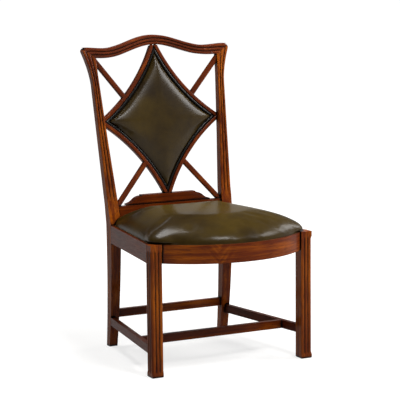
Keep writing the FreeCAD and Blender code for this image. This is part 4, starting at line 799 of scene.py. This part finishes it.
class CHAIR_OT_stage(bpy.types.Operator):
    """Pale floor, soft lamps and the camera at the photograph's angle"""

    bl_idname = "chair.stage"
    bl_label = "Stage"

    def execute(self, context):
        stage = settings().stage
        bpy.ops.object.select_all(action="DESELECT")
        bpy.ops.mesh.primitive_plane_add(size=40.0)
        floor = context.active_object
        floor.name = "floor"
        finish(floor, self.pale("pale_floor", stage, stage.floor_glow))
        bpy.ops.object.select_all(action="DESELECT")
        bpy.ops.mesh.primitive_cylinder_add(vertices=96, radius=20.0, depth=4.5, end_fill_type="NOTHING",
                                            location=(0, 0, 2.25))
        wall = context.active_object
        wall.name = "backdrop"
        finish(wall, self.pale("pale_backdrop", stage, 1.0))
        self.lamp("lamp_front", place=(0.5, -2.3, 3.6), aim=(0, 0, 0.5), size=0.9, power=116)
        self.lamp("lamp_right", place=(2.2, -1.0, 2.1), aim=(0, 0.1, 0.6), size=0.9, power=44)
        self.lamp("lamp_side", place=(2.4, 0.4, 1.6), aim=(0, 0.1, 0.6), size=0.8, power=20)
        self.lamp("lamp_over", place=(-0.4, 0.75, 2.9), aim=(-0.2, -0.2, 0.4), size=0.7, power=40)
        world = bpy.data.worlds.new("studio")
        world.use_nodes = True
        shade = world.node_tree.nodes["Background"]
        shade.inputs["Color"].default_value = (1.0, 1.0, 1.0, 1.0)
        shade.inputs["Strength"].default_value = stage.sky
        context.scene.world = world
        context.scene.view_settings.view_transform = "Standard"
        self.camera(stage)
        return {"FINISHED"}

    def pale(self, name, stage, strength):
        """Matt paint that reads as white where no shadow falls, and keeps the shadow."""
        material, tree, output = new_material(name)
        matt = add(tree, "ShaderNodeBsdfDiffuse", values={"Color": linear(stage.floor)})
        path = add(tree, "ShaderNodeLightPath")
        seen = add(tree, "ShaderNodeMath",
                   {0: path.outputs["Is Camera Ray"], 1: path.outputs["Is Glossy Ray"]}, operation="MAXIMUM")
        seen = add(tree, "ShaderNodeMath", {0: seen.outputs["Value"], 1: path.outputs["Is Transmission Ray"]},
                   operation="MAXIMUM")
        place = add(tree, "ShaderNodeTexCoord").outputs["Object"]
        away = add(tree, "ShaderNodeVectorMath", {0: place}, operation="LENGTH")
        white = add(tree, "ShaderNodeMapRange", {"Value": away.outputs["Value"]},
                    {"From Min": 0.5, "From Max": 1.8, "To Min": strength, "To Max": 1.0},
                    interpolation_type="SMOOTHSTEP")
        glow = add(tree, "ShaderNodeMath", {0: seen.outputs["Value"], 1: white.outputs["Result"]},
                   operation="MULTIPLY")
        light = add(tree, "ShaderNodeEmission", {"Strength": glow.outputs["Value"]})
        both = add(tree, "ShaderNodeAddShader", {0: matt.outputs["BSDF"], 1: light.outputs["Emission"]})
        tree.links.new(both.outputs["Shader"], output.inputs["Surface"])
        return material

    def lamp(self, name, place, aim, size, power):
        data = bpy.data.lights.new(name, "AREA")
        data.size = size
        data.energy = power
        lamp = bpy.data.objects.new(name, data)
        lamp.location = place
        lamp.rotation_euler = (Vector(aim) - Vector(place)).to_track_quat("-Z", "Y").to_euler()
        bpy.context.scene.collection.objects.link(lamp)

    def camera(self, stage):
        pitch, roll, heading = stage.camera_turn
        data = bpy.data.cameras.new("camera")
        data.lens = stage.lens
        data.sensor_width = 36.0
        data.clip_end = 200.0
        camera = bpy.data.objects.new("camera", data)
        turn = Matrix.Rotation(heading, 4, "Z") @ Matrix.Rotation(QUARTER_TURN + pitch, 4, "X")
        turn = turn @ Matrix.Rotation(roll, 4, "Z")
        camera.matrix_world = Matrix.Translation(stage.camera_place) @ turn
        bpy.context.scene.collection.objects.link(camera)
        bpy.context.scene.camera = camera


class ChairLooks(bpy.types.PropertyGroup):
    """All settings of the chair."""

    leather: PointerProperty(type=LeatherSettings)
    finish: PointerProperty(type=FinishSettings)
    stage: PointerProperty(type=StageSettings)


OPERATORS = (
    CHAIR_OT_stage,
    CHAIR_OT_show_wood,
    CHAIR_OT_black_beads,
    CHAIR_OT_fittings,
    CHAIR_OT_back_cushion,
    CHAIR_OT_outside_leather,
    CHAIR_OT_seat_cushion,
    CHAIR_OT_lining,
)


class CHAIR_PT_looks(bpy.types.Panel):
    """Steps that dress the chair, in order"""

    bl_label = "Chair"
    bl_idname = "CHAIR_PT_looks"
    bl_space_type = "VIEW_3D"
    bl_region_type = "UI"
    bl_category = "Chair"

    def draw(self, context):
        looks = context.scene.chair_looks
        for operator in OPERATORS:
            self.layout.operator(operator.bl_idname)
        for group in (looks.leather, looks.finish, looks.stage):
            box = self.layout.box()
            for name in group.__annotations__:
                box.prop(group, name)


CLASSES = (LeatherSettings, FinishSettings, StageSettings, ChairLooks) + OPERATORS + (CHAIR_PT_looks,)


def register():
    for cls in CLASSES:
        bpy.utils.register_class(cls)
    bpy.types.Scene.chair_looks = PointerProperty(type=ChairLooks)


def unregister():
    del bpy.types.Scene.chair_looks
    for cls in reversed(CLASSES):
        bpy.utils.unregister_class(cls)


def main():
    register()
    bpy.ops.chair.stage()
    bpy.ops.chair.show_wood()
    bpy.ops.chair.black_beads()
    bpy.ops.chair.fittings()
    bpy.ops.chair.back_cushion()
    bpy.ops.chair.outside_leather()
    bpy.ops.chair.seat_cushion()
    bpy.ops.chair.lining()


if __name__ == "__main__":
    main()
